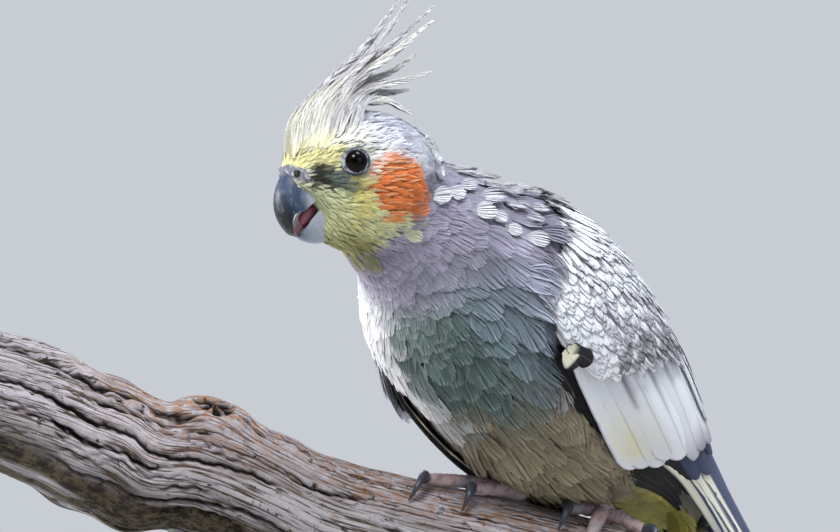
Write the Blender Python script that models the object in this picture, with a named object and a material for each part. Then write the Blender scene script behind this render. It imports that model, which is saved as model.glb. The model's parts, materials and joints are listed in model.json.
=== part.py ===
"""A life-size cockatiel that grips a cut length of branch, on a plain display stand.

The bird is modelled in its own frame: x forward, y to its left, z up, with the origin on top of the
perch midway between the feet. An empty turns that frame into the row frame, where the stand's base
lies on z = 0. Sizes are written in millimetres and multiplied by MM.
"""
import math

import bmesh
import bpy
import numpy as np
from mathutils import Matrix, Vector

MM = 0.001
GAP = 0.3  # the space that touching pieces keep

# Where the bird stands
PERCH_TOP = 124.0
BIRD_AT = (31.0, 8.0, PERCH_TOP)
BIRD_YAW = 225.0

# The body's outer shape, feathers and folded wings included, from the head to over the tail.
# Each row: distance along the spine, forward, up, half width, height above and below the spine.
BODY = (
    (0.0, 70.0, 77.5, 12.5, 14.5, 14.5),
    (9.0, 62.0, 74.5, 14.0, 15.0, 17.5),
    (18.0, 53.3, 71.2, 17.0, 17.2, 19.6),
    (27.0, 45.1, 66.6, 22.0, 20.2, 22.4),
    (43.0, 32.7, 56.7, 29.5, 28.8, 28.7),
    (62.0, 17.7, 44.5, 32.5, 33.5, 29.4),
    (82.0, 2.0, 32.5, 31.5, 31.8, 28.4),
    (100.0, -12.5, 22.0, 27.5, 28.8, 24.0),
    (124.0, -32.0, 7.5, 18.5, 20.2, 11.0),
    (141.0, -44.5, -4.5, 15.2, 16.4, 7.5),
    (166.0, -61.5, -23.0, 13.5, 12.6, 6.0),
    (205.0, -87.5, -52.0, 10.5, 8.0, 4.0),
    (242.0, -112.5, -80.0, 7.0, 5.0, 3.0),
)
TORSO_END = 130.0
NECK_CUT = 33.0
HEAD_CUT = 12.0
BODY_SIDES = 22
BODY_RINGS = 20

# The hollow in the torso's sides that the folded wings lie in
BED_DEPTH = 5.6
BED_FROM, BED_FULL = 40.0, 52.0
BED_TOP, BED_TOP_FULL = 6.0, 24.0
BED_LOW_FULL, BED_LOW = 4.0, 18.0

# The head, in its own frame, and how it is turned on the body
HEAD_AT = (71.3, -0.5, 79.6)
HEAD_TURN = -15.0
HEAD_NOD = 3.0
# Each row: forward, half width, height above and below the head's middle
HEAD = (
    (-22.5, 3.0, 4.0, 3.0),
    (-21.5, 6.5, 8.0, 7.5),
    (-18.0, 10.5, 12.5, 12.5),
    (-12.5, 13.0, 15.8, 16.0),
    (-5.0, 14.2, 17.3, 17.5),
    (1.0, 14.0, 17.6, 17.3),
    (6.0, 12.9, 17.0, 15.6),
    (9.5, 11.4, 16.0, 11.6),
    (12.0, 9.9, 14.7, 7.2),
    (14.2, 8.3, 13.0, 4.1),
    (16.2, 6.5, 10.4, 2.6),
    (17.6, 4.5, 7.0, 1.6),
    (18.3, 2.2, 3.3, 0.8),
)
HEAD_SIDES = 22
EYE_AT = (4.4, 11.1, 5.4)
EYE_RADIUS = 3.3
EYE_OPEN = 2.5
EYE_LOOK = (0.34, 0.94, 0.08)
LID_RADIUS = 0.8
CERE_AT, CERE_SIZE = (15.3, 0.0, 2.9), (3.3, 5.0, 3.0)
NOSTRIL_AT = (16.2, 3.6, 2.4)
NOSTRIL_RADIUS = 0.85

# The bill, in the head's frame: rows of outer edge, inner edge and half width
UPPER_BILL = (
    ((9.5, 4.2), (7.5, -3.0), 4.6),
    ((13.8, 4.6), (10.2, -3.6), 5.0),
    ((17.4, 3.2), (12.6, -5.0), 5.0),
    ((19.6, 0.2), (14.6, -6.4), 4.7),
    ((20.6, -3.4), (16.4, -7.3), 4.2),
    ((20.4, -6.6), (17.0, -8.8), 3.5),
    ((19.2, -9.4), (16.8, -10.5), 2.5),
    ((17.4, -11.3), (16.0, -11.5), 1.4),
    ((15.6, -12.3), (15.2, -12.1), 0.5),
)
LOWER_BILL = (
    ((4.0, -13.9), (5.0, -5.6), 4.2),
    ((7.5, -14.1), (8.6, -5.0), 4.6),
    ((9.8, -14.1), (10.8, -6.6), 4.3),
    ((11.8, -13.8), (12.7, -8.6), 3.7),
    ((13.4, -13.2), (14.0, -10.2), 2.8),
    ((14.5, -12.4), (14.7, -11.4), 1.7),
)
BILL_ARCS = 8
MOUTH = ((4.5, -5.0), (14.0, -8.0), 3.2, 2.8)
TONGUE = ((7.0, -4.7), (9.8, -5.3), (12.2, -7.2), (13.7, -9.2))
TONGUE_RADIUS = 1.1

# The crest's pad follows the crown from the forehead back, and the feathers stand in it.
CREST_PAD = (15.0, 11.5, 7.5, 3.0, -2.0, -7.0)
CREST_PAD_HALF, CREST_PAD_TALL = 3.3, 2.2
CREST_PAD_SINK = 1.5
# Each feather: its root's distance forward, the forward and up of its bend and tip, its side
CREST = (
    (14.2, (-1.8, 28.4), (-14.2, 44.6), 0.5),
    (12.4, (-3.5, 29.0), (-15.8, 44.0), -1.3),
    (10.4, (-7.5, 30.0), (-19.2, 42.3), 1.6),
    (8.4, (-13.0, 29.5), (-26.5, 41.5), -0.6),
    (6.2, (-13.5, 28.0), (-24.5, 36.0), 1.0),
    (4.0, (-15.8, 25.3), (-24.5, 25.3), -1.4),
    (1.6, (-13.0, 24.6), (-21.0, 24.2), 0.9),
    (-1.2, (-9.5, 23.0), (-18.0, 22.2), -0.8),
    (-4.0, (-9.0, 21.4), (-15.0, 20.8), 0.6),
)
CREST_WIDTH = 4.4
CREST_THICK = 0.7
CREST_TURN = 62.0

# The wings' tiers, from the innermost out. Roots and tips are rows of distance along the spine and
# degrees from the back's middle, at the tier's lower end, middle and upper end.
# name, count, roots, tips, width, lift over the outer shape at root and tip, steps
TIERS = (
    ("primary", 4, ((60, 100), (70, 85), (82, 64)), ((148, 109), (176, 78), (206, 40)), 7.5,
     (-4.8, -0.8), 6),
    ("secondary", 6, ((58, 105), (68, 82), (80, 50)), ((124, 125), (122, 97), (125, 54)), 8.0,
     (-4.1, -1.0), 5),
    ("greater", 7, ((56, 101), (63, 77), (74, 42)), ((97, 126), (110, 98), (120, 53)), 9.0,
     (-3.3, -0.7), 4),
    ("median", 6, ((50, 95), (57, 74), (67, 46)), ((71, 103), (83, 81), (97, 53)), 9.0,
     (-2.7, -0.4), 4),
    ("lesser", 5, ((46, 86), (50, 68), (56, 50)), ((58, 97), (66, 78), (76, 55)), 10.0,
     (-2.3, -0.1), 3),
    ("scapular", 3, ((51, 25), (54, 32), (58, 40)), ((88, 22), (96, 31), (102, 41)), 10.0,
     (-1.9, -0.1), 4),
)
ALULA = ("alula", 1, ((51, 102), (51, 102), (51, 102)), ((66, 106), (66, 106), (66, 106)), 7.0,
         (-1.6, 1.0), 4)
WING_FRONT, WING_BACK = 43.5, 98.0
WING_TOP = 17.0
WING_LOW_FRONT, WING_LOW_MIDDLE, WING_LOW_BACK = 92.0, 118.0, 128.0
WING_ROOF = -1.7
WING_SINK = 0.6  # how far the wing starts inside the torso, before the torso's room is cut from it
WING_ROWS, WING_COLUMNS = 8, 8
# The right wing hangs a little lower and looser, so that its edge shows past the breast.
DROOP = 18.0
LOOSE = 3.0
VANE_THICK = 0.52
VANE_STEP = 0.86

# The tail: the middle pair on top, each next pair lower and further out
TAIL_ROOT = (-37.3, 2.4)
TAIL_SLOPE = 48.0
TAIL_LENGTHS = (158.0, 130.0, 122.0, 113.0, 104.0, 94.0)
TAIL_WIDTH = 9.6
TAIL_MIDDLE_WIDTH = 11.0
TAIL_SPREAD = 0.55
TAIL_STEP = 0.86
TAIL_THICK = 0.55
# The tail's root: rows of reach from the torso, half width, half height and drop
TAIL_STUB = (
    (1.0, 9.6, 8.0, 0.0),
    (8.0, 9.8, 6.6, 0.6),
    (18.0, 9.0, 4.6, 1.0),
    (30.0, 7.5, 3.0, 1.1),
)

# The feet. Places on the perch are steps along it and radians round it from its top.
FEET = {
    "left": (10.0, 0.05),
    "right": (-11.5, 0.12),
}
# Each toe: its tip, then its claw's tip
TOES = {
    "left": {
        "outer_front": ((6.5, 1.12), (6.0, 1.66)),
        "inner_front": ((1.0, 0.34), (-1.0, 0.90)),
        "outer_back": ((21.0, 0.36), (24.5, 0.82)),
        "inner_back": ((14.0, -0.85), (15.5, -1.38)),
    },
    "right": {
        "outer_front": ((-35.0, 0.38), (-38.6, 0.96)),
        "inner_front": ((-23.5, 0.44), (-25.2, 0.94)),
        "outer_back": ((-15.0, -1.0), (-16.0, -1.52)),
        "inner_back": ((-5.0, -0.85), (-4.0, -1.38)),
    },
}
TARSUS_RADIUS = 2.6
HIP_REACH = (2.5, 1.5, 15.0)
PALM_RADIUS = 2.8
TOE_RADIUS, TOE_TIP_RADIUS = 1.95, 1.5
CLAW_RADIUS = 1.2

# The perch: a cut length of weathered branch.
# Each row: distance along it from the bird, rise of its middle, radius
PERCH = (
    (-150.0, 2.2, 16.4),
    (-144.0, 1.8, 16.6),
    (-126.0, 0.3, 17.4),
    (-118.0, -1.6, 17.9),
    (-110.0, -2.2, 17.8),
    (-103.0, -4.0, 17.4),
    (-91.0, -1.2, 16.8),
    (-72.0, -2.4, 16.5),
    (-59.0, -4.0, 16.0),
    (-37.0, -3.2, 15.6),
    (-15.0, -0.9, 15.0),
    (0.0, 0.0, 15.0),
    (20.0, 0.6, 14.8),
    (44.0, 0.5, 14.5),
)
PERCH_DROP = 16.5
PERCH_RECEDE = 10.0
PERCH_SIDES = 18
PERCH_RINGS = 25

# The display stand
BASE_SIZE = (156.0, 104.0, 12.0)
BASE_CORNER = 14.0
ROD_AT = (-88.0, 16.0)
ROD_RADIUS = 3.0
COLLAR_RADIUS, COLLAR_HEIGHT = 7.0, 5.0
ROD_SOCKET = 6.0


def clear_scene():
    for obj in list(bpy.data.objects):
        bpy.data.objects.remove(obj)


def material(name, rgb, roughness, metallic=0.0):
    made = bpy.data.materials.new(name)
    made.use_nodes = True
    shader = made.node_tree.nodes["Principled BSDF"]
    shader.inputs["Base Color"].default_value = (*rgb, 1.0)
    shader.inputs["Roughness"].default_value = roughness
    shader.inputs["Metallic"].default_value = metallic
    return made


# Curves and surfaces that the sizes above set


def smooth(t):
    t = min(max(t, 0.0), 1.0)
    return t * t * (3.0 - 2.0 * t)


def curve_through(rows):
    """A smooth function of each row's first number, which gives the rest of the row as an array."""
    table = np.array(rows, float)
    at, values = table[:, 0], table[:, 1:]
    step = np.diff(at)[:, None]
    slope = np.diff(values, axis=0) / step
    tangent = np.empty_like(values)
    tangent[0], tangent[-1] = slope[0], slope[-1]
    tangent[1:-1] = (slope[:-1] * step[1:] + slope[1:] * step[:-1]) / (step[1:] + step[:-1])

    def value(x):
        i = int(np.clip(np.searchsorted(at, x) - 1, 0, len(at) - 2))
        h = at[i + 1] - at[i]
        t = (min(max(x, at[0]), at[-1]) - at[i]) / h
        a = (1.0 + 2.0 * t) * (1.0 - t) ** 2
        b = t * t * (3.0 - 2.0 * t)
        c = t * (1.0 - t) ** 2 * h
        d = t * t * (t - 1.0) * h
        return a * values[i] + b * values[i + 1] + c * tangent[i] + d * tangent[i + 1]

    return value


body_row = curve_through(BODY)
head_row = curve_through(HEAD)
perch_row = curve_through(PERCH)


def spine(s):
    """The spine's point at s, its direction towards the tail and the direction of the back."""
    forward, up = body_row(s)[:2]
    ahead, behind = body_row(s - 0.5)[:2], body_row(s + 0.5)[:2]
    along = Vector((behind[0] - ahead[0], 0.0, behind[1] - ahead[1])).normalized()
    return Vector((forward, 0.0, up)), along, Vector((along.z, 0.0, -along.x))


def outer_point(s, degrees):
    """A point on the body's outer shape. Degrees run from the back's middle to the left side."""
    half, above, below = body_row(s)[2:]
    centre, _, back = spine(s)
    turn = math.radians(degrees)
    rise = above if math.cos(turn) > 0.0 else below
    return centre + Vector((0.0, half * math.sin(turn), 0.0)) + back * rise * math.cos(turn)


def outer_slopes(s, degrees):
    """How the outer point moves for each step along the spine and for each degree round it."""
    along = (outer_point(s + 1.0, degrees) - outer_point(s - 1.0, degrees)) / 2.0
    around = (outer_point(s, degrees + 2.0) - outer_point(s, degrees - 2.0)) / 4.0
    return along, around


def lifted_point(s, degrees, lift):
    along, around = outer_slopes(s, degrees)
    return outer_point(s, degrees) + around.cross(along).normalized() * lift


def wing_low(s):
    """How far down the side the folded wing's flesh reaches, in degrees from the back's middle."""
    front = (WING_LOW_MIDDLE - WING_LOW_FRONT) * smooth((s - 42.0) / 22.0)
    return WING_LOW_FRONT + front + (WING_LOW_BACK - WING_LOW_MIDDLE) * smooth((s - 85.0) / 35.0)


def bed_depth(s, degrees):
    """How far the torso lies under the outer shape, to leave room for the folded wings."""
    side = abs((degrees + 180.0) % 360.0 - 180.0)
    from_front = smooth((s - BED_FROM) / (BED_FULL - BED_FROM))
    over_rump = smooth((s - 84.0) / 24.0)
    from_top = smooth((side - BED_TOP) / (BED_TOP_FULL - BED_TOP))
    from_top += (1.0 - from_top) * over_rump
    low = wing_low(s)
    from_below = smooth((low + BED_LOW - side) / (BED_LOW - BED_LOW_FULL))
    return BED_DEPTH * from_front * from_top * from_below


def head_frame():
    turn = Matrix.Rotation(math.radians(HEAD_TURN), 4, "Z")
    nod = Matrix.Rotation(math.radians(HEAD_NOD), 4, "Y")
    return Matrix.Translation(HEAD_AT) @ turn @ nod


HEAD_FRAME = head_frame()


def in_head(point):
    """A point of the head's own frame, in the bird's frame."""
    return HEAD_FRAME @ Vector(point)


def turned(direction):
    """A direction of the head's own frame, in the bird's frame."""
    return HEAD_FRAME.to_3x3() @ direction


# Closed meshes


def mesh_object(name, points, faces):
    """A closed mesh in metres, from points in millimetres, with its faces turned outwards."""
    mesh = bpy.data.meshes.new(name)
    mesh.from_pydata([tuple(c * MM for c in p) for p in points], [], faces)
    work = bmesh.new()
    work.from_mesh(mesh)
    bmesh.ops.recalc_face_normals(work, faces=work.faces)
    if work.calc_volume(signed=True) < 0.0:
        bmesh.ops.reverse_faces(work, faces=work.faces)
    work.to_mesh(mesh)
    work.free()
    obj = bpy.data.objects.new(name, mesh)
    bpy.context.scene.collection.objects.link(obj)
    return obj


def loft(name, rings, tip_first=None, tip_last=None):
    """A closed body through rings of equal count, each end closed flat or to a tip."""
    count = len(rings[0])
    points = [p for ring in rings for p in ring]
    faces = []
    for i in range(len(rings) - 1):
        for j in range(count):
            k = (j + 1) % count
            a, b = i * count + j, i * count + k
            faces.append((a, b, b + count))
            faces.append((a, b + count, a + count))
    for start, tip in ((0, tip_first), ((len(rings) - 1) * count, tip_last)):
        loop = [start + j for j in range(count)]
        if tip is None:
            faces.append(tuple(loop))
            continue
        points.append(tip)
        for j in range(count):
            faces.append((loop[j], loop[(j + 1) % count], len(points) - 1))
    return mesh_object(name, points, faces)


def tube(name, centres, radii, sides=10, flat=1.0):
    """A round-ended tube through the centres. Flat squashes it along its own upward direction."""
    centres = [Vector(c) for c in centres]
    rings = []
    for i, centre in enumerate(centres):
        along = (centres[min(i + 1, len(centres) - 1)] - centres[max(i - 1, 0)]).normalized()
        side = along.cross(Vector((0.0, 0.0, 1.0)))
        side = side.normalized() if side.length > 0.05 else Vector((0.0, 1.0, 0.0))
        up = side.cross(along)
        ring = []
        for j in range(sides):
            turn = 2.0 * math.pi * j / sides
            ring.append(centre + radii[i] * (side * math.cos(turn) + up * math.sin(turn) * flat))
        rings.append(ring)
    first = centres[0] + (centres[0] - centres[1]).normalized() * radii[0] * 0.6
    last = centres[-1] + (centres[-1] - centres[-2]).normalized() * radii[-1] * 0.6
    return loft(name, rings, first, last)


def apply_modifiers(obj):
    graph = bpy.context.evaluated_depsgraph_get()
    mesh = bpy.data.meshes.new_from_object(obj.evaluated_get(graph))
    obj.modifiers.clear()
    obj.data = mesh


def keep_largest(obj):
    """Keeps only the mesh's largest closed surface."""
    work = bmesh.new()
    work.from_mesh(obj.data)
    unseen = set(work.verts)
    groups = []
    while unseen:
        group, edge = set(), [unseen.pop()]
        while edge:
            vert = edge.pop()
            group.add(vert)
            near = [e.other_vert(vert) for e in vert.link_edges]
            fresh = [v for v in near if v in unseen]
            unseen.difference_update(fresh)
            edge.extend(fresh)
        groups.append(group)

    def size(group):
        low = [min(v.co[k] for v in group) for k in range(3)]
        high = [max(v.co[k] for v in group) for k in range(3)]
        return math.dist(low, high)

    groups.sort(key=size)
    scrap = [v for group in groups[:-1] for v in group]
    bmesh.ops.delete(work, geom=scrap, context="VERTS")
    bmesh.ops.triangulate(work, faces=work.faces)
    work.to_mesh(obj.data)
    work.free()


def combine(obj, others, operation, solver="EXACT"):
    """One Boolean of obj with all the others, which are then removed."""
    group = bpy.data.collections.new("operands")
    for other in others:
        group.objects.link(other)
    modifier = obj.modifiers.new(operation, "BOOLEAN")
    modifier.operation = operation
    modifier.operand_type = "COLLECTION"
    modifier.collection = group
    modifier.solver = solver
    apply_modifiers(obj)
    for other in others:
        bpy.data.objects.remove(other)
    bpy.data.collections.remove(group)
    keep_largest(obj)
    return obj


def fuse(obj, others):
    return combine(obj, others, "UNION")


def cut(obj, others):
    return combine(obj, others, "DIFFERENCE")


def copy_of(obj, name):
    made = bpy.data.objects.new(name, obj.data.copy())
    bpy.context.scene.collection.objects.link(made)
    return made


def slice_off(obj, point, normal):
    """Removes what lies past a plane, given in millimetres, and closes the cut flat."""
    work = bmesh.new()
    work.from_mesh(obj.data)
    everything = work.verts[:] + work.edges[:] + work.faces[:]
    found = bmesh.ops.bisect_plane(
        work,
        geom=everything,
        plane_co=Vector(point) * MM,
        plane_no=normal,
        clear_outer=True,
    )
    rim = [g for g in found["geom_cut"] if isinstance(g, bmesh.types.BMEdge)]
    bmesh.ops.holes_fill(work, edges=rim, sides=0)
    bmesh.ops.triangulate(work, faces=work.faces)
    bmesh.ops.recalc_face_normals(work, faces=work.faces)
    work.to_mesh(obj.data)
    work.free()
    return obj


def finish(obj, finish_material, parent):
    obj.data.materials.clear()
    obj.data.materials.append(finish_material)
    obj.data.shade_smooth()
    obj.data.set_sharp_from_angle(angle=math.radians(40.0))
    obj.parent = parent
    return obj


# Feather vanes


def plate(name, rings):
    """A thin closed plate from rings of left top, right top, right bottom and left bottom points.

    Both faces are split along the same diagonals, so that they stay the plate's thickness apart.
    """
    points = [p for ring in rings for p in ring]
    faces = [(0, 1, 2), (0, 2, 3)]
    for i in range(len(rings) - 1):
        a, b, c, d = (4 * i + k for k in range(4))
        e, f, g, h = (4 * i + 4 + k for k in range(4))
        faces += [(a, b, f), (a, f, e), (d, c, g), (d, g, h)]
        faces += [(b, c, g), (b, g, f), (a, d, h), (a, h, e)]
    last = 4 * (len(rings) - 1)
    faces += [(last, last + 1, last + 2), (last, last + 2, last + 3)]
    return mesh_object(name, points, faces)


def vane_width(t, point):
    """The share of its full half width that a vane has at t of its length."""
    root = 0.5 + 0.5 * smooth(t / 0.35)
    tip = math.sqrt(max(0.0, 1.0 - max(0.0, (t - point) / (1.0 - point)) ** 2))
    return max(root * tip, 0.2)


def straight_vane(name, frames, thick):
    """A plate from frames of middle, sideways direction, face direction and half width."""
    rings = []
    for middle, side, face, half in frames:
        ring = []
        for reach, rise in ((-half, 0.5), (half, 0.5), (half, -0.5), (-half, -0.5)):
            ring.append(middle + side * reach + face * thick * rise)
        rings.append(ring)
    return plate(name, rings)


def wing_hang(degrees, side):
    """The share of the right wing's droop and looseness that a place down its side takes."""
    return smooth((degrees - 70.0) / 45.0) if side < 0 else 0.0


def wing_point(s, degrees, lift, side):
    """A point of a folded wing, at the lift over the body's outer shape."""
    hang = wing_hang(degrees, side)
    point = lifted_point(s, degrees + DROOP * hang, lift + LOOSE * hang)
    return Vector((point.x, point.y * side, point.z))


def across_lane(lane, t):
    """Where a vane's middle line is at t of its length, and the steps that lead straight across it."""
    s, degrees = lane[0] + (lane[1] - lane[0]) * t
    along, around = outer_slopes(s, degrees)
    course = (along * (lane[1][0] - lane[0][0]) + around * (lane[1][1] - lane[0][1])).normalized()
    across = around.cross(along).normalized().cross(course)
    grid = np.array([along, around]).T
    ds, dd = np.linalg.lstsq(grid, np.array(across), rcond=None)[0]
    return s, degrees, across, ds, dd


def wing_vane(name, lane, beside, width, lifts, side, steps, point=0.62):
    """A vane that follows the body's outer shape, its upper edge tucked under the next vane.

    It tilts by just what keeps it clear of its neighbour's lane beside it.
    """
    rings = []
    for i in range(steps + 1):
        t = 1.0 - (1.0 - i / steps) ** 1.25
        s, degrees, across, ds, dd = across_lane(lane, t)
        other = beside[0] + (beside[1] - beside[0]) * t
        space = abs((outer_point(*other) - outer_point(s, degrees)).dot(across))
        space = max(space, 2.6)
        half = min(width / 2.0, space * 0.85) * vane_width(t, point)
        lift = lifts[0] + (lifts[1] - lifts[0]) * t**1.3
        ring = []
        for reach, rise in ((-half, 0.5), (half, 0.5), (half, -0.5), (-half, -0.5)):
            height = lift - VANE_STEP / space * reach + rise * VANE_THICK
            ring.append(wing_point(s + ds * reach, degrees + dd * reach, height, side))
        rings.append(ring)
    return plate(name, rings)


def between(rows, share):
    """A point on the smooth curve through three rows, at a share of the way from first to last."""
    low, middle, high = (Vector(row) for row in rows)
    control = middle * 2.0 - (low + high) * 0.5
    return low * (1.0 - share) ** 2 + control * 2.0 * share * (1.0 - share) + high * share**2


# The bird's parts


def skull(name):
    rings = []
    for forward, half, above, below in HEAD:
        ring = []
        for j in range(HEAD_SIDES):
            turn = 2.0 * math.pi * j / HEAD_SIDES
            rise = above if math.cos(turn) > 0.0 else below
            ring.append(in_head((forward, half * math.sin(turn), rise * math.cos(turn))))
        rings.append(ring)
    return loft(name, rings)


def body_loft(name, swell=0.0):
    """The neck and torso in one, or with swell the room that they take up."""
    rings = []
    for i in range(BODY_RINGS):
        s = TORSO_END * i / (BODY_RINGS - 1)
        turns = [360.0 * j / BODY_SIDES for j in range(BODY_SIDES)]
        rings.append([lifted_point(s, turn, swell - bed_depth(s, turn)) for turn in turns])
    return loft(name, rings)


def flesh():
    """The torso, neck and head as one skin, parted with thin cuts."""
    whole = fuse(body_loft("whole"), [skull("skull")])
    neck_at, neck_along, _ = spine(NECK_CUT)
    head_at, head_along, _ = spine(HEAD_CUT)
    half_gap = GAP / 2.0
    torso = slice_off(copy_of(whole, "torso"), neck_at + neck_along * half_gap, -neck_along)
    neck = slice_off(copy_of(whole, "neck"), neck_at - neck_along * half_gap, neck_along)
    slice_off(neck, head_at + head_along * half_gap, -head_along)
    head = slice_off(whole, head_at - head_along * half_gap, head_along)
    head.name = "head"
    return torso, neck, head


def bill_piece(name, rows, swell=0.0):
    """A bill half of D-shaped sections, the flat side inwards. Swell makes it larger all round."""
    rings = []
    for outer, inner, half in rows:
        out, inn = Vector((outer[0], 0.0, outer[1])), Vector((inner[0], 0.0, inner[1]))
        reach = (out - inn).normalized() * swell
        out, inn = out + reach, inn - reach
        ring = []
        for j in range(BILL_ARCS + 1):
            turn = math.pi * (j / BILL_ARCS - 0.5)
            sideways = Vector((0.0, (half + swell) * math.sin(turn), 0.0))
            ring.append(in_head(inn + (out - inn) * math.cos(turn) + sideways))
        if swell == 0.0:
            # The flat side is hollowed a little between its two cutting edges.
            for aside in (0.5, -0.5):
                ring.append(in_head(inn + (out - inn) * 0.2 + Vector((0.0, half * aside, 0.0))))
        rings.append(ring)
    if swell:
        middle = BILL_ARCS // 2
        past = (rings[0][middle] - rings[1][middle]).normalized() * swell
        rings[0] = [p + past for p in rings[0]]
    return loft(name, rings)


def ball(name, at, size, segments=16):
    """A ball or a squashed ball in the head's frame."""
    rings = []
    for i in range(1, segments // 2):
        polar = 2.0 * math.pi * i / segments
        ring = []
        for j in range(segments):
            turn = 2.0 * math.pi * j / segments
            x = size[0] * math.sin(polar) * math.cos(turn)
            y = size[1] * math.sin(polar) * math.sin(turn)
            ring.append(in_head(Vector(at) + Vector((x, y, size[2] * math.cos(polar)))))
        rings.append(ring)
    top = in_head(Vector(at) + Vector((0.0, 0.0, size[2])))
    bottom = in_head(Vector(at) - Vector((0.0, 0.0, size[2])))
    return loft(name, rings, top, bottom)


def mirrored(at, side):
    return Vector((at[0], at[1] * side, at[2]))


def lid_ring(name, side, around=16, sides=5):
    """The bare ring of skin round the eye, standing a little proud of the face."""
    look = mirrored(EYE_LOOK, side).normalized()
    across = look.cross(Vector((0.0, 0.0, 1.0))).normalized()
    up = across.cross(look)
    centre = mirrored(EYE_AT, side) + look * 1.9
    points, faces = [], []
    for i in range(around):
        turn = 2.0 * math.pi * i / around
        out = across * math.cos(turn) + up * math.sin(turn)
        for j in range(sides):
            roll = 2.0 * math.pi * j / sides
            reach = EYE_OPEN + LID_RADIUS * (1.0 + math.cos(roll))
            points.append(in_head(centre + out * reach + look * LID_RADIUS * math.sin(roll)))
            a, b = i * sides + j, i * sides + (j + 1) % sides
            shift = ((i + 1) % around - i) * sides
            faces += [(a, b, b + shift), (a, b + shift, a + shift)]
    return mesh_object(name, points, faces)


def mouth_hollow():
    """The inside of the open mouth, as a cutter between the two bill halves."""
    start, end, wide, tall = MOUTH
    rings = []
    for forward, up in (start, end):
        ring = []
        for j in range(12):
            turn = 2.0 * math.pi * j / 12
            ring.append(in_head((forward, wide * math.cos(turn), up + tall * math.sin(turn))))
        rings.append(ring)
    return loft("mouth", rings)


def crest_pad(name, swell=0.0):
    """The pad along the crown that the crest stands in, or with swell the groove that takes it."""
    centres = []
    for forward in CREST_PAD:
        centres.append(Vector((forward, 0.0, head_row(forward)[1] - CREST_PAD_SINK)))
    centres[0] += (centres[0] - centres[1]).normalized() * swell
    centres[-1] += (centres[-1] - centres[-2]).normalized() * swell
    half = CREST_PAD_HALF + swell
    radii = [half * k for k in (0.75, 1.0, 1.0, 1.0, 0.9, 0.7)]
    flat = (CREST_PAD_TALL + swell) / half
    return tube(name, [in_head(c) for c in centres], radii, 12, flat)


def finish_head(head):
    """Adds lids and cere to the head, and sinks the bill, eyes, nostrils, mouth and crest in it."""
    fuse(head, [lid_ring("lid", 1), lid_ring("lid", -1), ball("cere", CERE_AT, CERE_SIZE)])
    cutters = [mouth_hollow(), crest_pad("crest_groove", GAP)]
    cutters.append(bill_piece("upper_socket", UPPER_BILL, GAP))
    cutters.append(bill_piece("lower_socket", LOWER_BILL, GAP))
    for side in (1, -1):
        cutters.append(ball("eye_socket", mirrored(EYE_AT, side), (EYE_RADIUS + GAP,) * 3))
        cutters.append(ball("nostril", mirrored(NOSTRIL_AT, side), (NOSTRIL_RADIUS,) * 3, 8))
    return cut(head, cutters)


def crest_feather(name, row, steps=6):
    forward, bend, tip, aside = row
    root = Vector((forward, aside * 0.6, head_row(forward)[1] - CREST_PAD_SINK))
    bend, tip = Vector((bend[0], aside * 1.4, bend[1])), Vector((tip[0], aside * 2.2, tip[1]))
    twist = math.radians(CREST_TURN if aside >= 0.0 else -CREST_TURN)
    frames = []
    for i in range(steps + 1):
        t = i / steps
        at = root * (1.0 - t) ** 2 + bend * 2.0 * t * (1.0 - t) + tip * t**2
        along = ((bend - root) * (1.0 - t) + (tip - bend) * t).normalized()
        side = Vector((0.0, 1.0, 0.0))
        face = side.cross(along).normalized()
        # The vane is turned so that its flat side shows from the bird's side.
        across = side * math.cos(twist) + face * math.sin(twist)
        narrow = math.sqrt(max(1.0 - t**2.4, 0.0))
        half = max(CREST_WIDTH / 2.0 * (0.5 + 0.5 * smooth(t / 0.3)) * narrow, 0.35)
        normal = across.cross(along).normalized()
        frames.append((in_head(at), turned(across), turned(normal), half))
    return straight_vane(name, frames, CREST_THICK)


def crest():
    """The crest's feathers, joined at their roots by the pad that sits in the crown."""
    feathers = [crest_feather(f"crest_feather_{i}", row) for i, row in enumerate(CREST)]
    return fuse(crest_pad("crest"), feathers)


def wing_core(name, side):
    """The folded wing's flesh and small feathers, as a shell that reaches into the torso."""
    outer, inner = [], []
    for i in range(WING_ROWS):
        t = i / (WING_ROWS - 1)
        s = WING_FRONT + (WING_BACK - WING_FRONT) * t
        for j in range(WING_COLUMNS):
            u = j / (WING_COLUMNS - 1)
            degrees = WING_TOP + (wing_low(s) - WING_TOP) * u
            hang = wing_hang(degrees, side)
            floor = -WING_SINK - bed_depth(s, degrees + DROOP * hang) - LOOSE * hang
            # The shell thins towards its rim.
            rim = min(1.0, 0.3 + 5.0 * min(t, 1.0 - t)) * min(1.0, 0.3 + 6.0 * min(u, 1.0 - u))
            thick = max(WING_ROOF - 1.8 * t - floor, 1.6) * max(rim, 0.5)
            outer.append(wing_point(s, degrees, floor + thick, side))
            inner.append(wing_point(s, degrees, floor, side))
    points, shift = outer + inner, len(outer)
    faces = []
    for i in range(WING_ROWS - 1):
        for j in range(WING_COLUMNS - 1):
            a = i * WING_COLUMNS + j
            b, c, d = a + 1, a + 1 + WING_COLUMNS, a + WING_COLUMNS
            for k in (0, shift):
                faces += [(a + k, b + k, c + k), (a + k, c + k, d + k)]
    last = WING_COLUMNS - 1
    rim = [(0, j) for j in range(last)] + [(i, last) for i in range(WING_ROWS - 1)]
    rim += [(WING_ROWS - 1, j) for j in range(last, 0, -1)]
    rim += [(i, 0) for i in range(WING_ROWS - 1, 0, -1)]
    rim = [i * WING_COLUMNS + j for i, j in rim]
    for a, b in zip(rim, rim[1:] + rim[:1]):
        faces += [(a, b, b + shift), (a, b + shift, a + shift)]
    return mesh_object(name, points, faces)


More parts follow.
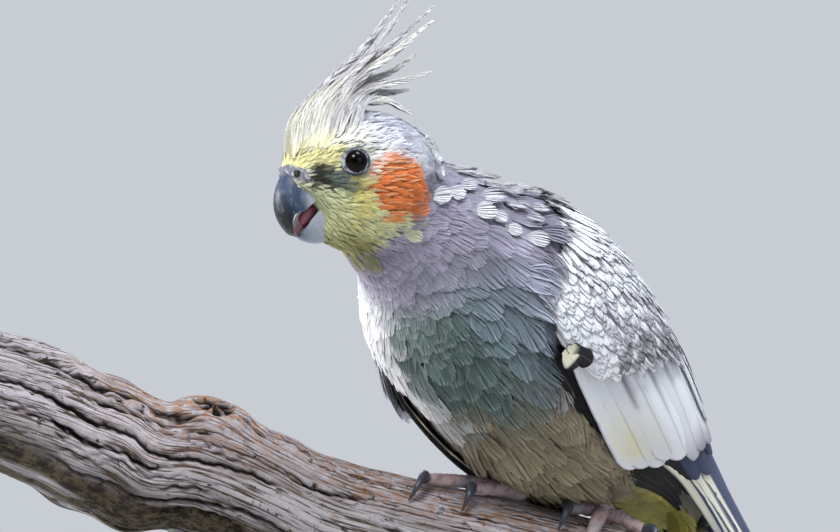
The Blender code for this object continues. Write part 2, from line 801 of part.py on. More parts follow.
def tier_vanes(tier, side):
    name, count, roots, tips, width, lifts, steps = tier
    shares = [i / max(count - 1, 1) for i in range(count)]
    lanes = [(between(roots, share), between(tips, share)) for share in shares]
    vanes = []
    for i, lane in enumerate(lanes):
        beside = lanes[i + 1] if i + 1 < count else lanes[i - 1]
        if count == 1:
            beside = tuple(end + Vector((0.0, 18.0)) for end in lane)
        vanes.append(wing_vane(f"{name}_{i}", lane, beside, width, lifts, side, steps))
    return vanes


def wing(name, side):
    vanes = []
    for tier in (*TIERS, ALULA):
        vanes += tier_vanes(tier, side)
    return cut(fuse(wing_core(name, side), vanes), [body_loft("body_room", GAP)])


def tail(name):
    """The tail's feathers on a short stub that meets the torso."""
    slope = math.radians(TAIL_SLOPE)
    along = Vector((-math.cos(slope), 0.0, -math.sin(slope)))
    up = Vector((-math.sin(slope), 0.0, math.cos(slope)))
    start = Vector((TAIL_ROOT[0], 0.0, TAIL_ROOT[1]))
    stub = []
    for reach, half, tall, drop in TAIL_STUB:
        ring = []
        for j in range(16):
            turn = 2.0 * math.pi * j / 16
            sideways = Vector((0.0, half * math.cos(turn), 0.0))
            ring.append(start + along * reach + sideways + up * (tall * math.sin(turn) - drop))
        stub.append(ring)
    vanes = []
    for i, length in enumerate(TAIL_LENGTHS):
        for side in (1, -1):
            # The middle pair crosses the tail's middle, so one of its two lies over the other.
            level = 1.2 - TAIL_STEP * i + (TAIL_STEP if i == 0 and side > 0 else 0.0)
            width = TAIL_WIDTH if i else TAIL_MIDDLE_WIDTH
            aside = side * (0.45 + width / 2.0 + 0.8 * (i - 1)) if i else side * 2.2
            frames = tail_frames(start, along, up, length, level, aside, width, i * side)
            vanes.append(straight_vane(f"tail_feather_{i}", frames, TAIL_THICK))
    return fuse(loft(name, stub), vanes)


def tail_frames(start, along, up, length, level, aside, width, rank, steps=6):
    splay = math.radians(TAIL_SPREAD * rank)
    course = along * math.cos(splay) + Vector((0.0, math.sin(splay), 0.0))
    across = up.cross(course).normalized()
    frames = []
    for k in range(steps + 1):
        t = 1.0 - (1.0 - k / steps) ** 1.25
        middle = start + course * (8.0 + (length - 8.0) * t) + up * level
        middle += Vector((0.0, aside, 0.0))
        half = width / 2.0 * vane_width(t, 0.68 if rank else 0.3)
        frames.append((middle, across, up, half))
    return frames


# The perch and what grips it


def perch_axes():
    """The perch's direction, its upward and its camera-side directions, in the row frame."""
    drop, recede = math.radians(PERCH_DROP), math.radians(PERCH_RECEDE)
    along = Vector((math.cos(recede), math.sin(recede), 0.0)) * math.cos(drop)
    along.z = -math.sin(drop)
    side = along.cross(Vector((0.0, 0.0, 1.0))).normalized()
    return along, side.cross(along), side


def perch_point(s, turn, lift=0.0):
    """A point on the branch. Turn runs from its top to the camera's side, in radians."""
    along, up, side = perch_axes()
    rise, radius = perch_row(s)
    swell = 0.5 * (math.cos(2.0 * turn + 0.03 * s) - math.cos(2.0 * turn)) * smooth(abs(s) / 60.0)
    around = (turn + math.pi) % (2.0 * math.pi) - math.pi
    knot = 2.6 * math.exp(-(((s + 84.0) / 12.0) ** 2) - ((around - 0.75) / 0.55) ** 2)
    ridge = 1.6 * math.exp(-(((s + 112.0) / 18.0) ** 2) - ((around - 1.1) / 0.45) ** 2)
    reach = radius + swell + knot + ridge + lift
    middle = Vector(BIRD_AT) + along * s + up * (rise - perch_row(0.0)[1])
    return middle + up * reach * math.cos(turn) + side * reach * math.sin(turn)


def perch():
    rings = []
    for i in range(PERCH_RINGS):
        s = PERCH[0][0] + (PERCH[-1][0] - PERCH[0][0]) * i / (PERCH_RINGS - 1)
        rings.append([perch_point(s, 2.0 * math.pi * j / PERCH_SIDES) for j in range(PERCH_SIDES)])
    return loft("perch", rings)


def bird_frame():
    return Matrix.Translation(BIRD_AT) @ Matrix.Rotation(math.radians(BIRD_YAW), 4, "Z")


def to_bird(point):
    return bird_frame().inverted() @ point


def toe_line(foot, tip, steps=3):
    """A toe's middle line from the foot's palm to its tip, lying on the perch."""
    points = []
    for k in range(steps + 1):
        t = k / steps
        radius = TOE_RADIUS + (TOE_TIP_RADIUS - TOE_RADIUS) * t
        lift = radius + GAP + 0.15 + 0.7 * math.sin(math.pi * t)
        s, turn = (a + (b - a) * t for a, b in zip(foot, tip))
        points.append(to_bird(perch_point(s, turn, lift)))
    return points


def claw_line(tip, end, steps=3):
    """The claw's middle line: it leaves the toe's tip, arches and comes down on the perch."""
    points = []
    for k in range(steps + 1):
        t = k / steps
        s, turn = (a + (b - a) * t for a, b in zip(tip, end))
        lift = 2.1 - 1.2 * t**2 + 1.2 * math.sin(math.pi * min(t * 1.15, 1.0))
        points.append(to_bird(perch_point(s, turn, lift)))
    return points


def toe_radii(swell, steps=3):
    radii = [TOE_RADIUS + (TOE_TIP_RADIUS - TOE_RADIUS) * k / steps for k in range(steps + 1)]
    return [r + swell for r in radii]


def claw_radii(swell, steps=3):
    return [CLAW_RADIUS * (1.0 - 0.76 * k / steps) + swell for k in range(steps + 1)]


def leg_tubes(side_name, swell):
    """The shank, palm and toes of one leg as separate tubes, each swollen all round."""
    foot = FEET[side_name]
    palm = to_bird(perch_point(*foot, PALM_RADIUS + GAP))
    outward = 1.0 if side_name == "left" else -1.0
    hip = palm + Vector((HIP_REACH[0], -outward * HIP_REACH[1], HIP_REACH[2]))
    line = [palm + (hip - palm) * t for t in (0.0, 0.4, 1.0)]
    tubes = [tube(f"leg_{side_name}", line, [TARSUS_RADIUS * k + swell for k in (1.0, 0.95, 1.3)], 8)]
    ends = [palm - Vector((2.0, 0.0, 0.0)), palm, palm + Vector((2.0, 0.0, 0.0))]
    tubes.append(tube("palm", ends, [PALM_RADIUS * k + swell for k in (0.75, 1.0, 0.75)], 8, 0.85))
    for tip, _ in TOES[side_name].values():
        tubes.append(tube("toe", toe_line(foot, tip), toe_radii(swell), 7))
    return tubes


def foot_pieces(side_name):
    """One leg with its toes, and its claws as pieces of their own, in the bird's frame."""
    leg, *rest = leg_tubes(side_name, 0.0)
    fuse(leg, rest)
    claws, sockets = [], []
    for toe_name, (tip, end) in TOES[side_name].items():
        line = claw_line(tip, end)
        claws.append(tube(f"claw_{side_name}_{toe_name}", line, claw_radii(0.0), 6))
        sockets.append(tube("socket", line, claw_radii(GAP), 6))
    cut(leg, sockets)
    return leg, claws


# The display stand


def stand_base():
    mesh = bpy.data.meshes.new("stand_base")
    work = bmesh.new()
    half_x, half_y = BASE_SIZE[0] / 2.0 - BASE_CORNER, BASE_SIZE[1] / 2.0 - BASE_CORNER
    outline = []
    for centre_x, centre_y, start in (
        (half_x, half_y, 0),
        (-half_x, half_y, 90),
        (-half_x, -half_y, 180),
        (half_x, -half_y, 270),
    ):
        for step in range(7):
            turn = math.radians(start + 15.0 * step)
            x = centre_x + BASE_CORNER * math.cos(turn)
            y = centre_y + BASE_CORNER * math.sin(turn)
            outline.append(work.verts.new((x * MM, y * MM, 0.0)))
    face = work.faces.new(outline)
    grown = bmesh.ops.extrude_face_region(work, geom=[face])
    top = [g for g in grown["geom"] if isinstance(g, bmesh.types.BMVert)]
    bmesh.ops.translate(work, vec=(0.0, 0.0, BASE_SIZE[2] * MM), verts=top)
    bmesh.ops.recalc_face_normals(work, faces=work.faces)
    rim = [e for e in work.edges if all(v in top for v in e.verts) and not e.is_boundary]
    rim = [e for e in rim if any(abs(f.normal.z) < 0.5 for f in e.link_faces)]
    bmesh.ops.bevel(work, geom=rim, offset=2.0 * MM, segments=3, profile=0.5, affect="EDGES")
    work.to_mesh(mesh)
    work.free()
    obj = bpy.data.objects.new("stand_base", mesh)
    bpy.context.scene.collection.objects.link(obj)
    return obj


def upright(name, x, y, rows, sides=20):
    """A turned upright: rows of height and radius about a vertical axis."""
    rings = []
    for height, radius in rows:
        ring = []
        for j in range(sides):
            turn = 2.0 * math.pi * j / sides
            ring.append((x + radius * math.cos(turn), y + radius * math.sin(turn), height))
        rings.append(ring)
    return loft(name, rings)


def rod_places():
    """Where each rod stands and how high it reaches into the perch."""
    places = []
    for s in ROD_AT:
        under = perch_point(s, math.pi)
        places.append((under.x, under.y, under.z + ROD_SOCKET))
    return places


def main():
    clear_scene()
    feather_grey = material("grey_plumage", (0.36, 0.35, 0.37), 0.8)
    face_yellow = material("pale_yellow_plumage", (0.78, 0.74, 0.42), 0.8)
    wing_white = material("white_and_grey_vanes", (0.70, 0.70, 0.74), 0.7)
    tail_grey = material("grey_tail_vanes", (0.33, 0.33, 0.38), 0.7)
    horn = material("slate_horn", (0.17, 0.19, 0.23), 0.35)
    pale_horn = material("pale_horn", (0.62, 0.60, 0.58), 0.4)
    tongue_skin = material("tongue_skin", (0.50, 0.20, 0.24), 0.4)
    eye_black = material("dark_eye", (0.02, 0.012, 0.01), 0.05)
    foot_skin = material("scaly_skin", (0.50, 0.42, 0.42), 0.6)
    wood = material("weathered_wood", (0.42, 0.34, 0.27), 0.85)
    plinth = material("stained_wood", (0.16, 0.11, 0.08), 0.4)
    steel = material("brushed_steel", (0.55, 0.55, 0.56), 0.3, 1.0)

    bird = bpy.data.objects.new("bird", None)
    bpy.context.scene.collection.objects.link(bird)
    bird.location = Vector(BIRD_AT) * MM
    bird.rotation_euler = (0.0, 0.0, math.radians(BIRD_YAW))

    torso, neck, head = flesh()
    finish_head(head)
    for side_name in ("left", "right"):
        leg, claws = foot_pieces(side_name)
        cut(torso, leg_tubes(side_name, GAP))
        finish(leg, foot_skin, bird)
        for claw in claws:
            finish(claw, horn, bird)
    for piece in (torso, neck):
        finish(piece, feather_grey, bird)
    finish(head, face_yellow, bird)
    finish(crest(), face_yellow, bird)
    finish(tail("tail"), tail_grey, bird)
    finish(bill_piece("bill_upper", UPPER_BILL), horn, bird)
    finish(bill_piece("bill_lower", LOWER_BILL), pale_horn, bird)
    line = [in_head((forward, 0.0, up)) for forward, up in TONGUE]
    radii = [TONGUE_RADIUS * k for k in (0.9, 1.0, 1.0, 0.7)]
    finish(tube("tongue", line, radii, 8), tongue_skin, bird)
    for side, side_name in ((1, "left"), (-1, "right")):
        eye = ball(f"eye_{side_name}", mirrored(EYE_AT, side), (EYE_RADIUS,) * 3, 14)
        finish(eye, eye_black, bird)
        finish(wing(f"wing_{side_name}", side), wing_white, bird)

    branch = perch()
    base = stand_base()
    finish(base, plinth, None)
    for i, (x, y, top) in enumerate(rod_places()):
        foot_at = BASE_SIZE[2] + GAP
        rows = [(foot_at, COLLAR_RADIUS), (foot_at + COLLAR_HEIGHT * 0.7, COLLAR_RADIUS),
                (foot_at + COLLAR_HEIGHT, COLLAR_RADIUS - 1.5), (foot_at + COLLAR_HEIGHT, ROD_RADIUS),
                (top, ROD_RADIUS)]
        socket = upright("rod_socket", x, y, [(0.0, ROD_RADIUS + GAP), (top + GAP, ROD_RADIUS + GAP)])
        cut(branch, [socket])
        finish(upright(f"stand_rod_{i + 1}", x, y, rows), steel, None)
    finish(branch, wood, None)


main()
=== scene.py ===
"""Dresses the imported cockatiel: plumage, bill, eyes, feet, branch, stand, studio and camera.

Lengths in the code are millimetres in the bird's own frame (x forward, y to its left, z up, origin on
top of the branch between the feet) until to_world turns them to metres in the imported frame.
"""
import json
import math

import bmesh
import bpy
import numpy as np
from bpy.props import FloatProperty, FloatVectorProperty, IntProperty, PointerProperty
from mathutils import Matrix, Vector

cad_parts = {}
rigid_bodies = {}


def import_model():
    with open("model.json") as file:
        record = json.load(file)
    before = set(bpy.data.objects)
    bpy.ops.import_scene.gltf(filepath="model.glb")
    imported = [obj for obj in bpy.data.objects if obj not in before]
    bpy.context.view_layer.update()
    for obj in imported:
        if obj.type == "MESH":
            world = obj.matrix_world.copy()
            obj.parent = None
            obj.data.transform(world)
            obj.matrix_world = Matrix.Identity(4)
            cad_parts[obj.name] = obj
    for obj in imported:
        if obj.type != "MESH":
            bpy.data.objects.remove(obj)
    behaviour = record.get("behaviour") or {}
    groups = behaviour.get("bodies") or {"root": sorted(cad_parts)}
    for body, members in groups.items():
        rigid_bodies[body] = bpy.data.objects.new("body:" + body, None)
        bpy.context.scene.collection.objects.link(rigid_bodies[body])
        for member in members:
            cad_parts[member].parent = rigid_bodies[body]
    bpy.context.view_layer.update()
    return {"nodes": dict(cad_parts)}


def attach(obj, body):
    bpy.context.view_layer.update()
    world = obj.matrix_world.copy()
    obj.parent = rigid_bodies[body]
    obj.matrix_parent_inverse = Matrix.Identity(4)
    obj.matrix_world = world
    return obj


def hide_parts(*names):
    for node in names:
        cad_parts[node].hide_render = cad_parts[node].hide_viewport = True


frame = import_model()

bl_info = {
    "name": "Cockatiel dresser",
    "version": (1, 0, 0),
    "blender": (4, 5, 0),
    "location": "3D View > Sidebar > Cockatiel",
    "description": "Feathers, bill, eyes, feet, branch and studio for a life-size cockatiel",
    "category": "Object",
}

MM = 0.001
BIRD_AT = (31.0, 8.0, 124.0)
BIRD_YAW = 225.0

# The same rows as the solids: distance along the spine, forward, up, half width, height above, below
BODY = (
    (0.0, 70.0, 77.5, 12.5, 14.5, 14.5),
    (9.0, 62.0, 74.5, 14.0, 15.0, 17.5),
    (18.0, 53.3, 71.2, 17.0, 17.2, 19.6),
    (27.0, 45.1, 66.6, 22.0, 20.2, 22.4),
    (43.0, 32.7, 56.7, 29.5, 28.8, 28.7),
    (62.0, 17.7, 44.5, 32.5, 33.5, 29.4),
    (82.0, 2.0, 32.5, 31.5, 31.8, 28.4),
    (100.0, -12.5, 22.0, 27.5, 28.8, 24.0),
    (124.0, -32.0, 7.5, 18.5, 20.2, 11.0),
    (141.0, -44.5, -4.5, 15.2, 16.4, 7.5),
    (166.0, -61.5, -23.0, 13.5, 12.6, 6.0),
    (205.0, -87.5, -52.0, 10.5, 8.0, 4.0),
    (242.0, -112.5, -80.0, 7.0, 5.0, 3.0),
)
BED_DEPTH = 5.6
WING_LOW = (92.0, 118.0, 128.0)
DROOP, LOOSE = 27.0, 4.4

HEAD_AT = (71.3, -0.5, 79.6)
HEAD_TURN, HEAD_NOD = -15.0, 3.0
HEAD = (
    (-22.5, 3.0, 4.0, 3.0),
    (-21.5, 6.5, 8.0, 7.5),
    (-18.0, 10.5, 12.5, 12.5),
    (-12.5, 13.0, 15.8, 16.0),
    (-5.0, 14.2, 17.3, 17.5),
    (1.0, 14.0, 17.6, 17.3),
    (6.0, 12.9, 17.0, 15.6),
    (9.5, 11.4, 16.0, 11.6),
    (12.0, 9.9, 14.7, 7.2),
    (14.2, 8.3, 13.0, 4.1),
    (16.2, 6.5, 10.4, 2.6),
    (17.6, 4.5, 7.0, 1.6),
    (18.3, 2.2, 3.3, 0.8),
)
EYE_AT, EYE_RADIUS = (4.4, 11.1, 4.75), 3.3
EYE_LOOK = (0.34, 0.94, 0.08)
CERE_AT, NOSTRIL_AT = (15.0, 0.0, 2.5), (16.0, 4.1, 2.5)
MOUTH = ((4.5, -5.0), (14.0, -8.0), 3.2, 2.8)
TONGUE = ((7.0, -5.2), (9.8, -6.0), (12.3, -7.9), (13.9, -9.9))
CERE = ((9.9, 6.5, -3.2), (11.9, 6.1, -0.6), (13.9, 5.1, 1.4), (15.3, 3.3, 2.7), (15.9, 0.0, 3.2))
UPPER_BILL = (
    ((9.5, 4.0), (7.5, -3.0), 4.6),
    ((13.8, 4.3), (10.6, -3.4), 5.0),
    ((17.2, 3.0), (13.0, -4.8), 5.0),
    ((19.2, 0.2), (15.2, -6.5), 4.7),
    ((20.1, -2.8), (17.3, -7.1), 4.1),
    ((20.0, -6.2), (17.7, -9.0), 3.3),
    ((18.9, -9.1), (17.1, -10.9), 2.4),
    ((17.3, -11.3), (16.3, -12.1), 1.4),
    ((15.4, -12.6), (15.1, -12.5), 0.5),
)
LOWER_BILL = (
    ((4.0, -13.9), (5.0, -5.6), 4.2),
    ((7.5, -14.3), (8.6, -5.0), 4.8),
    ((9.8, -14.5), (10.8, -6.2), 4.8),
    ((11.8, -14.2), (12.9, -8.3), 4.4),
    ((13.4, -13.6), (14.1, -10.2), 3.6),
    ((14.6, -12.7), (14.8, -11.4), 2.3),
)

# Wing tiers: name, count, roots, tips (distance along, degrees round), width, lifts, cross step
TIERS = (
    ("primary", 7, ((60, 104), (70, 85), (82, 50)), ((148, 112), (176, 76), (206, 30)),
     11.0, (-4.4, 0.4), 0.32),
    ("secondary", 8, ((54, 118), (66, 88), (80, 54)), ((130, 141), (124, 112), (126, 60)),
     12.5, (-3.9, -1.3), 0.32),
    ("greater", 8, ((55, 104), (63, 80), (74, 42)), ((101, 127), (112, 101), (123, 58)),
     12.5, (-3.2, -0.5), 0.30),
    ("tertial", 5, ((64, 22), (70, 34), (76, 48)), ((104, 20), (112, 34), (120, 54)),
     9.5, (-2.6, -0.1), 0.34),
)
LONG_TIERS = ("primary", "secondary", "greater", "tertial")
# How far along a vane starts to narrow to its tip
NARROWS_AT = {"greater": 0.86, "alula": 0.6, "covert_row": 0.45, "covert_last": 0.45}
COVERTS = (((41, 92), (43, 64), (44, 34)), ((47, 103), (51, 72), (56, 38)),
           ((55, 108), (62, 78), (72, 44)), ((70, 109), (83, 86), (100, 56)))
COVERT_ROWS = 14
SCAPULARS = (((40, 10), (42, 24), (44, 40)), ((54, 8), (58, 24), (61, 42)),
             ((58, 10), (62, 24), (66, 40)), ((82, 8), (90, 24), (98, 40)))
ALULA = ("alula", 2, ((57.3, 112.3), (57.3, 111.3), (57.2, 109.6)),
         ((62.2, 112.8), (64, 110.5), (65.6, 106.8)), 5.4)
ALULA_LIFTS = {1: (-0.6, 1.0), -1: (-3.0, -1.6)}

TAIL_ROOT, TAIL_SLOPE = (-37.3, 2.4), 48.0
TAIL_LENGTHS = (158.0, 130.0, 122.0, 113.0, 104.0, 94.0)
# Crest plumes: forward and up at the root, three bends and the tip, in the head's frame, then aside
CREST = (
    (16.9, 8.5, 14.9, 15.4, 4.8, 24.2, -6.5, 33.2, -18.5, 45.6, 0.3),
    (15.5, 11.0, 12.2, 17.3, 3.0, 24.2, -7.5, 32.5, -17.0, 43.0, -1.2),
    (13.0, 13.0, 8.5, 18.6, 0.5, 24.8, -9.5, 33.6, -20.3, 46.0, 1.4),
    (11.0, 14.0, 6.0, 19.5, -2.5, 25.8, -13.0, 32.0, -26.0, 41.0, -0.5),
    (9.0, 15.0, 3.5, 20.0, -5.0, 26.0, -14.5, 31.5, -23.8, 37.4, 1.6),
    (7.0, 15.8, 1.5, 19.6, -6.0, 23.4, -13.5, 25.8, -21.0, 29.5, -1.5),
    (5.0, 16.4, 0.0, 19.2, -6.0, 22.0, -14.0, 23.3, -23.6, 25.2, 0.6),
    (2.5, 17.0, -2.0, 19.0, -7.5, 20.6, -13.0, 21.0, -18.5, 21.2, -1.2),
    (0.5, 17.3, -3.5, 18.6, -8.5, 19.2, -12.5, 18.0, -16.3, 15.9, 1.2),
)

SIDES = ((1, "left"), (-1, "right"))
FEET = {"left": (10.0, 0.05), "right": (-11.5, 0.12)}
TOES = {
    "left": {
        "outer_front": ((6.5, 1.12), (6.0, 1.66)),
        "inner_front": ((1.0, 0.34), (-1.0, 0.90)),
        "outer_back": ((21.0, 0.36), (24.5, 0.82)),
        "inner_back": ((14.0, -0.85), (15.5, -1.38)),
    },
    "right": {
        "outer_front": ((-35.0, 0.38), (-38.6, 0.96)),
        "inner_front": ((-23.5, 0.44), (-25.2, 0.94)),
        "outer_back": ((-15.0, -1.0), (-16.0, -1.52)),
        "inner_back": ((-5.0, -0.85), (-4.0, -1.38)),
    },
}
PERCH = (
    (-150.0, 2.2, 16.4),
    (-144.0, 1.8, 16.6),
    (-126.0, 0.3, 17.4),
    (-118.0, -1.6, 17.9),
    (-110.0, -2.2, 17.8),
    (-103.0, -4.0, 17.4),
    (-91.0, -1.2, 16.8),
    (-72.0, -2.4, 16.5),
    (-59.0, -4.0, 16.0),
    (-37.0, -3.2, 15.6),
    (-15.0, -0.9, 15.0),
    (0.0, 0.0, 15.0),
    (20.0, 0.6, 14.8),
    (44.0, 0.5, 14.5),
)
PERCH_DROP, PERCH_RECEDE = 16.5, 10.0


def linear(code):
    """An sRGB hex colour as linear red, green and blue."""
    parts = [int(code[i : i + 2], 16) / 255.0 for i in (0, 2, 4)]
    return tuple(c / 12.92 if c <= 0.04045 else ((c + 0.055) / 1.055) ** 2.4 for c in parts)


def ink(code):
    """The same as an array."""
    return np.array(linear(code))


def inks(settings, *names):
    """The colours of several settings as arrays."""
    return (np.array(getattr(settings, name)) for name in names)


def tone(name, code, description):
    return FloatVectorProperty(name=name, description=description, subtype="COLOR", size=3, min=0.0,
                               max=1.0, default=linear(code))


def length_setting(name, default, low, high, description):
    """A length setting, in millimetres."""
    return FloatProperty(name=name, description=description, default=default * MM, min=low * MM,
                         max=high * MM, unit="LENGTH")


def power_setting(name, default):
    """The power of one of the studio's lights."""
    return FloatProperty(name=f"{name} light", description=f"Power of the {name.lower()} light",
                         default=default, min=0.0, unit="POWER")


class PlumageSettings(bpy.types.PropertyGroup):
    face: tone("Face", "EAE6A4", "Yellow of the lower face")
    cream: tone("Cream", "FAF9EC", "Cream of the forehead and crest")
    chin: tone("Chin", "DCE4B2", "Yellow-green that the whole face starts from")
    lore: tone("Lore", "1D1F1B", "Dark grey-green between bill and eye")
    cheek: tone("Cheek", "FF8C4C", "Orange of the ear patch")
    white: tone("White", "F1F3FA", "White of the crown, spots and wing patch")
    lilac: tone("Lilac grey", "A29EB4", "Grey of the neck, mantle and upper breast")
    breast: tone("Breast", "5E726E", "Cool grey of the breast")
    belly: tone("Belly", "998D74", "Brownish grey of the belly and flanks")
    vent: tone("Vent", "B4AE55", "Olive yellow under the tail")
    pearl: tone("Pearl edge", "6B6570", "Grey-brown that edges the pearled coverts")
    flight: tone("Flight", "17161B", "Black-brown of the secondaries")
    quill: tone("Quill grey", "465070", "Grey of the primaries and tail")
    straw: tone("Straw", "F2EDC4", "Cream yellow of the wing's lower feathers")
    fine_length: length_setting("Head feather", 4.2, 1.0, 9.0, "Length of a head feather")
    body_length: length_setting("Breast feather", 13.0, 4.0, 20.0, "Length of a breast feather")
    seed: IntProperty(name="Seed", description="Fixed seed for all that varies by chance", default=11)


class HornSettings(bpy.types.PropertyGroup):
    bill: tone("Bill", "394B68", "Slate of the upper bill")
    bill_pale: tone("Pale horn", "C2CBDA", "Pale grey of the lower bill and the worn edges")
    claw: tone("Claw", "3C414C", "Slate of the claws")
    cere: tone("Cere", "747889", "Bluish grey of the cere")
    lid: tone("Eye ring", "535E70", "Blue-grey bare skin round the eye")
    foot: tone("Foot", "BFA6A8", "Pinkish grey of the toes")
    tongue: tone("Tongue", "DC8C9E", "Pink of the tongue")
    scute: length_setting("Scute", 1.25, 0.5, 3.0, "Length of one scute on a toe")


class StandSettings(bpy.types.PropertyGroup):
    wood: tone("Weathered wood", "DCD6DE", "Silver grey of the weathered branch")
    wood_warm: tone("Bared wood", "B98255", "Orange-brown of the freshly bared patches")
    # The crack colour is partly the darker wood inside the cracks and partly painted shade that deepens with
    # their depth.
    crack_dark_and_shade: tone("Crack", "1E1611", "Dark brown in the cracks")
    plinth: tone("Plinth", "3A2519", "Dark stain of the wooden base")
    crack_depth: length_setting("Crack depth", 1.5, 0.0, 3.0, "Depth of the long cracks")


class StageSettings(bpy.types.PropertyGroup):
    floor: tone("Floor", "C6C6C4", "Pale floor")
    key_power: power_setting("Key", 176.0)
    top_power: power_setting("Top", 150.0)
    side_power: power_setting("Side", 27.0)
    fill_power: power_setting("Fill", 6.0)
    rim_power: power_setting("Rim", 12.0)
    distance: FloatProperty(name="Camera distance", description="From the camera to the bird", default=2.4,
                            min=0.5, unit="LENGTH")


# Number work


def smooth(t):
    t = np.clip(t, 0.0, 1.0)
    return t * t * (3.0 - 2.0 * t)


def unit(v):
    return v / np.maximum(np.linalg.norm(v, axis=-1, keepdims=True), 1e-9)


def dot(a, b):
    return (a * b).sum(-1)


def either_side(degrees):
    """Degrees from the back's middle, whichever the side."""
    return np.abs((degrees + 180.0) % 360.0 - 180.0)


def all_round(count):
    """Angles in radians all round a circle."""
    return np.linspace(0.0, 2.0 * np.pi, count, endpoint=False)


def curve_through(rows):
    """A smooth function of each row's first number, which gives the rest of the row. Takes arrays."""
    table = np.array(rows, float)
    at, values = table[:, 0], table[:, 1:]
    step = np.diff(at)[:, None]
    slope = np.diff(values, axis=0) / step
    tangent = np.empty_like(values)
    tangent[0], tangent[-1] = slope[0], slope[-1]
    tangent[1:-1] = (slope[:-1] * step[1:] + slope[1:] * step[:-1]) / (step[1:] + step[:-1])

    def value(x):
        x = np.clip(np.asarray(x, float), at[0], at[-1])
        i = np.clip(np.searchsorted(at, x) - 1, 0, len(at) - 2)
        h = (at[i + 1] - at[i])[..., None]
        t = (x - at[i])[..., None] / h
        start = (1.0 + 2.0 * t) * (1.0 - t) ** 2 * values[i] + t * (1.0 - t) ** 2 * h * tangent[i]
        return start + t * t * (3.0 - 2.0 * t) * values[i + 1] + t * t * (t - 1.0) * h * tangent[i + 1]

    return value


body_row = curve_through(BODY)
head_row = curve_through(HEAD)
perch_row = curve_through(PERCH)


def matrix_array(matrix):
    return np.array(matrix.to_3x3()), np.array(matrix.translation)


HEAD_TURNED, HEAD_MIDDLE = matrix_array(
    Matrix.Translation(HEAD_AT)
    @ Matrix.Rotation(math.radians(HEAD_TURN), 4, "Z")
    @ Matrix.Rotation(math.radians(HEAD_NOD), 4, "Y")
)
BIRD_TURNED = np.array(Matrix.Rotation(math.radians(BIRD_YAW), 3, "Z"))


def from_head(points):
    return np.asarray(points, float) @ HEAD_TURNED.T + HEAD_MIDDLE


def into_head(points):
    return (np.asarray(points, float) - HEAD_MIDDLE) @ HEAD_TURNED


def to_world(points):
    """From the bird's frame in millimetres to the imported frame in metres."""
    return (np.asarray(points, float) @ BIRD_TURNED.T + BIRD_AT) * MM


def to_bird(points):
    return (np.asarray(points, float) / MM - BIRD_AT) @ BIRD_TURNED


def from_row(points):
    """From the row frame in millimetres to the bird's frame."""
    return (np.asarray(points, float) - BIRD_AT) @ BIRD_TURNED


def spine(s):
    """The spine's middle, its way tailwards and its way to the back, at distances along it."""
    s = np.asarray(s, float)
    row = body_row(s)
    step = unit(body_row(s + 0.5)[..., :2] - body_row(s - 0.5)[..., :2])
    zero = np.zeros_like(s)
    centre = np.stack([row[..., 0], zero, row[..., 1]], -1)
    along = np.stack([step[..., 0], zero, step[..., 1]], -1)
    back = np.stack([step[..., 1], zero, -step[..., 0]], -1)
    return centre, along, back


def outer_point(s, degrees):
    """A point on the body's outer shape, degrees from the back's middle to the left side."""
    s, degrees = np.broadcast_arrays(np.asarray(s, float), np.asarray(degrees, float))
    row = body_row(s)
    centre, _, back = spine(s)
    turn = np.radians(degrees)
    rise = np.where(np.cos(turn) > 0.0, row[..., 3], row[..., 4]) * np.cos(turn)
    point = centre + back * rise[..., None]
    point[..., 1] += row[..., 2] * np.sin(turn)
    return point


def outer_slopes(s, degrees):
    """How the outer shape's point moves for each millimetre along and each degree round."""
    along = (outer_point(s + 1.0, degrees) - outer_point(s - 1.0, degrees)) / 2.0
    around = (outer_point(s, degrees + 2.0) - outer_point(s, degrees - 2.0)) / 4.0
    return along, around


def lifted_point(s, degrees, lift):
    """A point so many millimetres above the outer shape."""
    along, around = outer_slopes(s, degrees)
    normal = unit(np.cross(around, along))
    return outer_point(s, degrees) + normal * np.asarray(lift)[..., None]


def wing_low(s):
    """Degrees from the back's middle down to the folded wing's lower edge."""
    front = (WING_LOW[1] - WING_LOW[0]) * smooth((s - 42.0) / 22.0)
    return WING_LOW[0] + front + (WING_LOW[2] - WING_LOW[1]) * smooth((s - 85.0) / 35.0)


def bed_depth(s, degrees):
    """How far the torso lies under the outer shape where the folded wings lie."""
    side = either_side(degrees)
    from_front = smooth((s - 40.0) / 12.0)
    over_rump = smooth((s - 84.0) / 24.0)
    from_top = smooth((side - 6.0) / 18.0)
    from_top = from_top + (1.0 - from_top) * over_rump
    return BED_DEPTH * from_front * from_top * smooth((wing_low(s) + 18.0 - side) / 14.0)


def spine_place(points):
    """The distance along the spine and the degrees round it, of points in the bird's frame."""
    table = np.linspace(0.0, 150.0, 301)
    centre, along, back = spine(table)
    apart = points[:, None, [0, 2]] - centre[None][:, :, [0, 2]]
    gap = np.abs((apart * along[None][:, :, [0, 2]]).sum(-1))
    best = (gap + 0.25 * np.linalg.norm(apart, axis=-1)).argmin(1)
    s = table[best]
    rise = dot(points - centre[best], back[best])
    row = body_row(s)
    tall = np.where(rise > 0.0, row[:, 3], row[:, 4])
    return s, np.degrees(np.arctan2(points[:, 1] / row[:, 2], rise / tall)) % 360.0


def ripple(points, size, seed):
    """Smooth noise from -1 to 1 that changes over about size millimetres."""
    dice = np.random.default_rng(seed)
    total = np.zeros(len(points))
    for _ in range(6):
        wave = dice.normal(size=3) * 2.2 / size
        total += np.sin(points @ wave + dice.uniform(0.0, 6.28))
    return np.clip(total / 3.0, -1.0, 1.0)


# Meshes, pieces and nodes


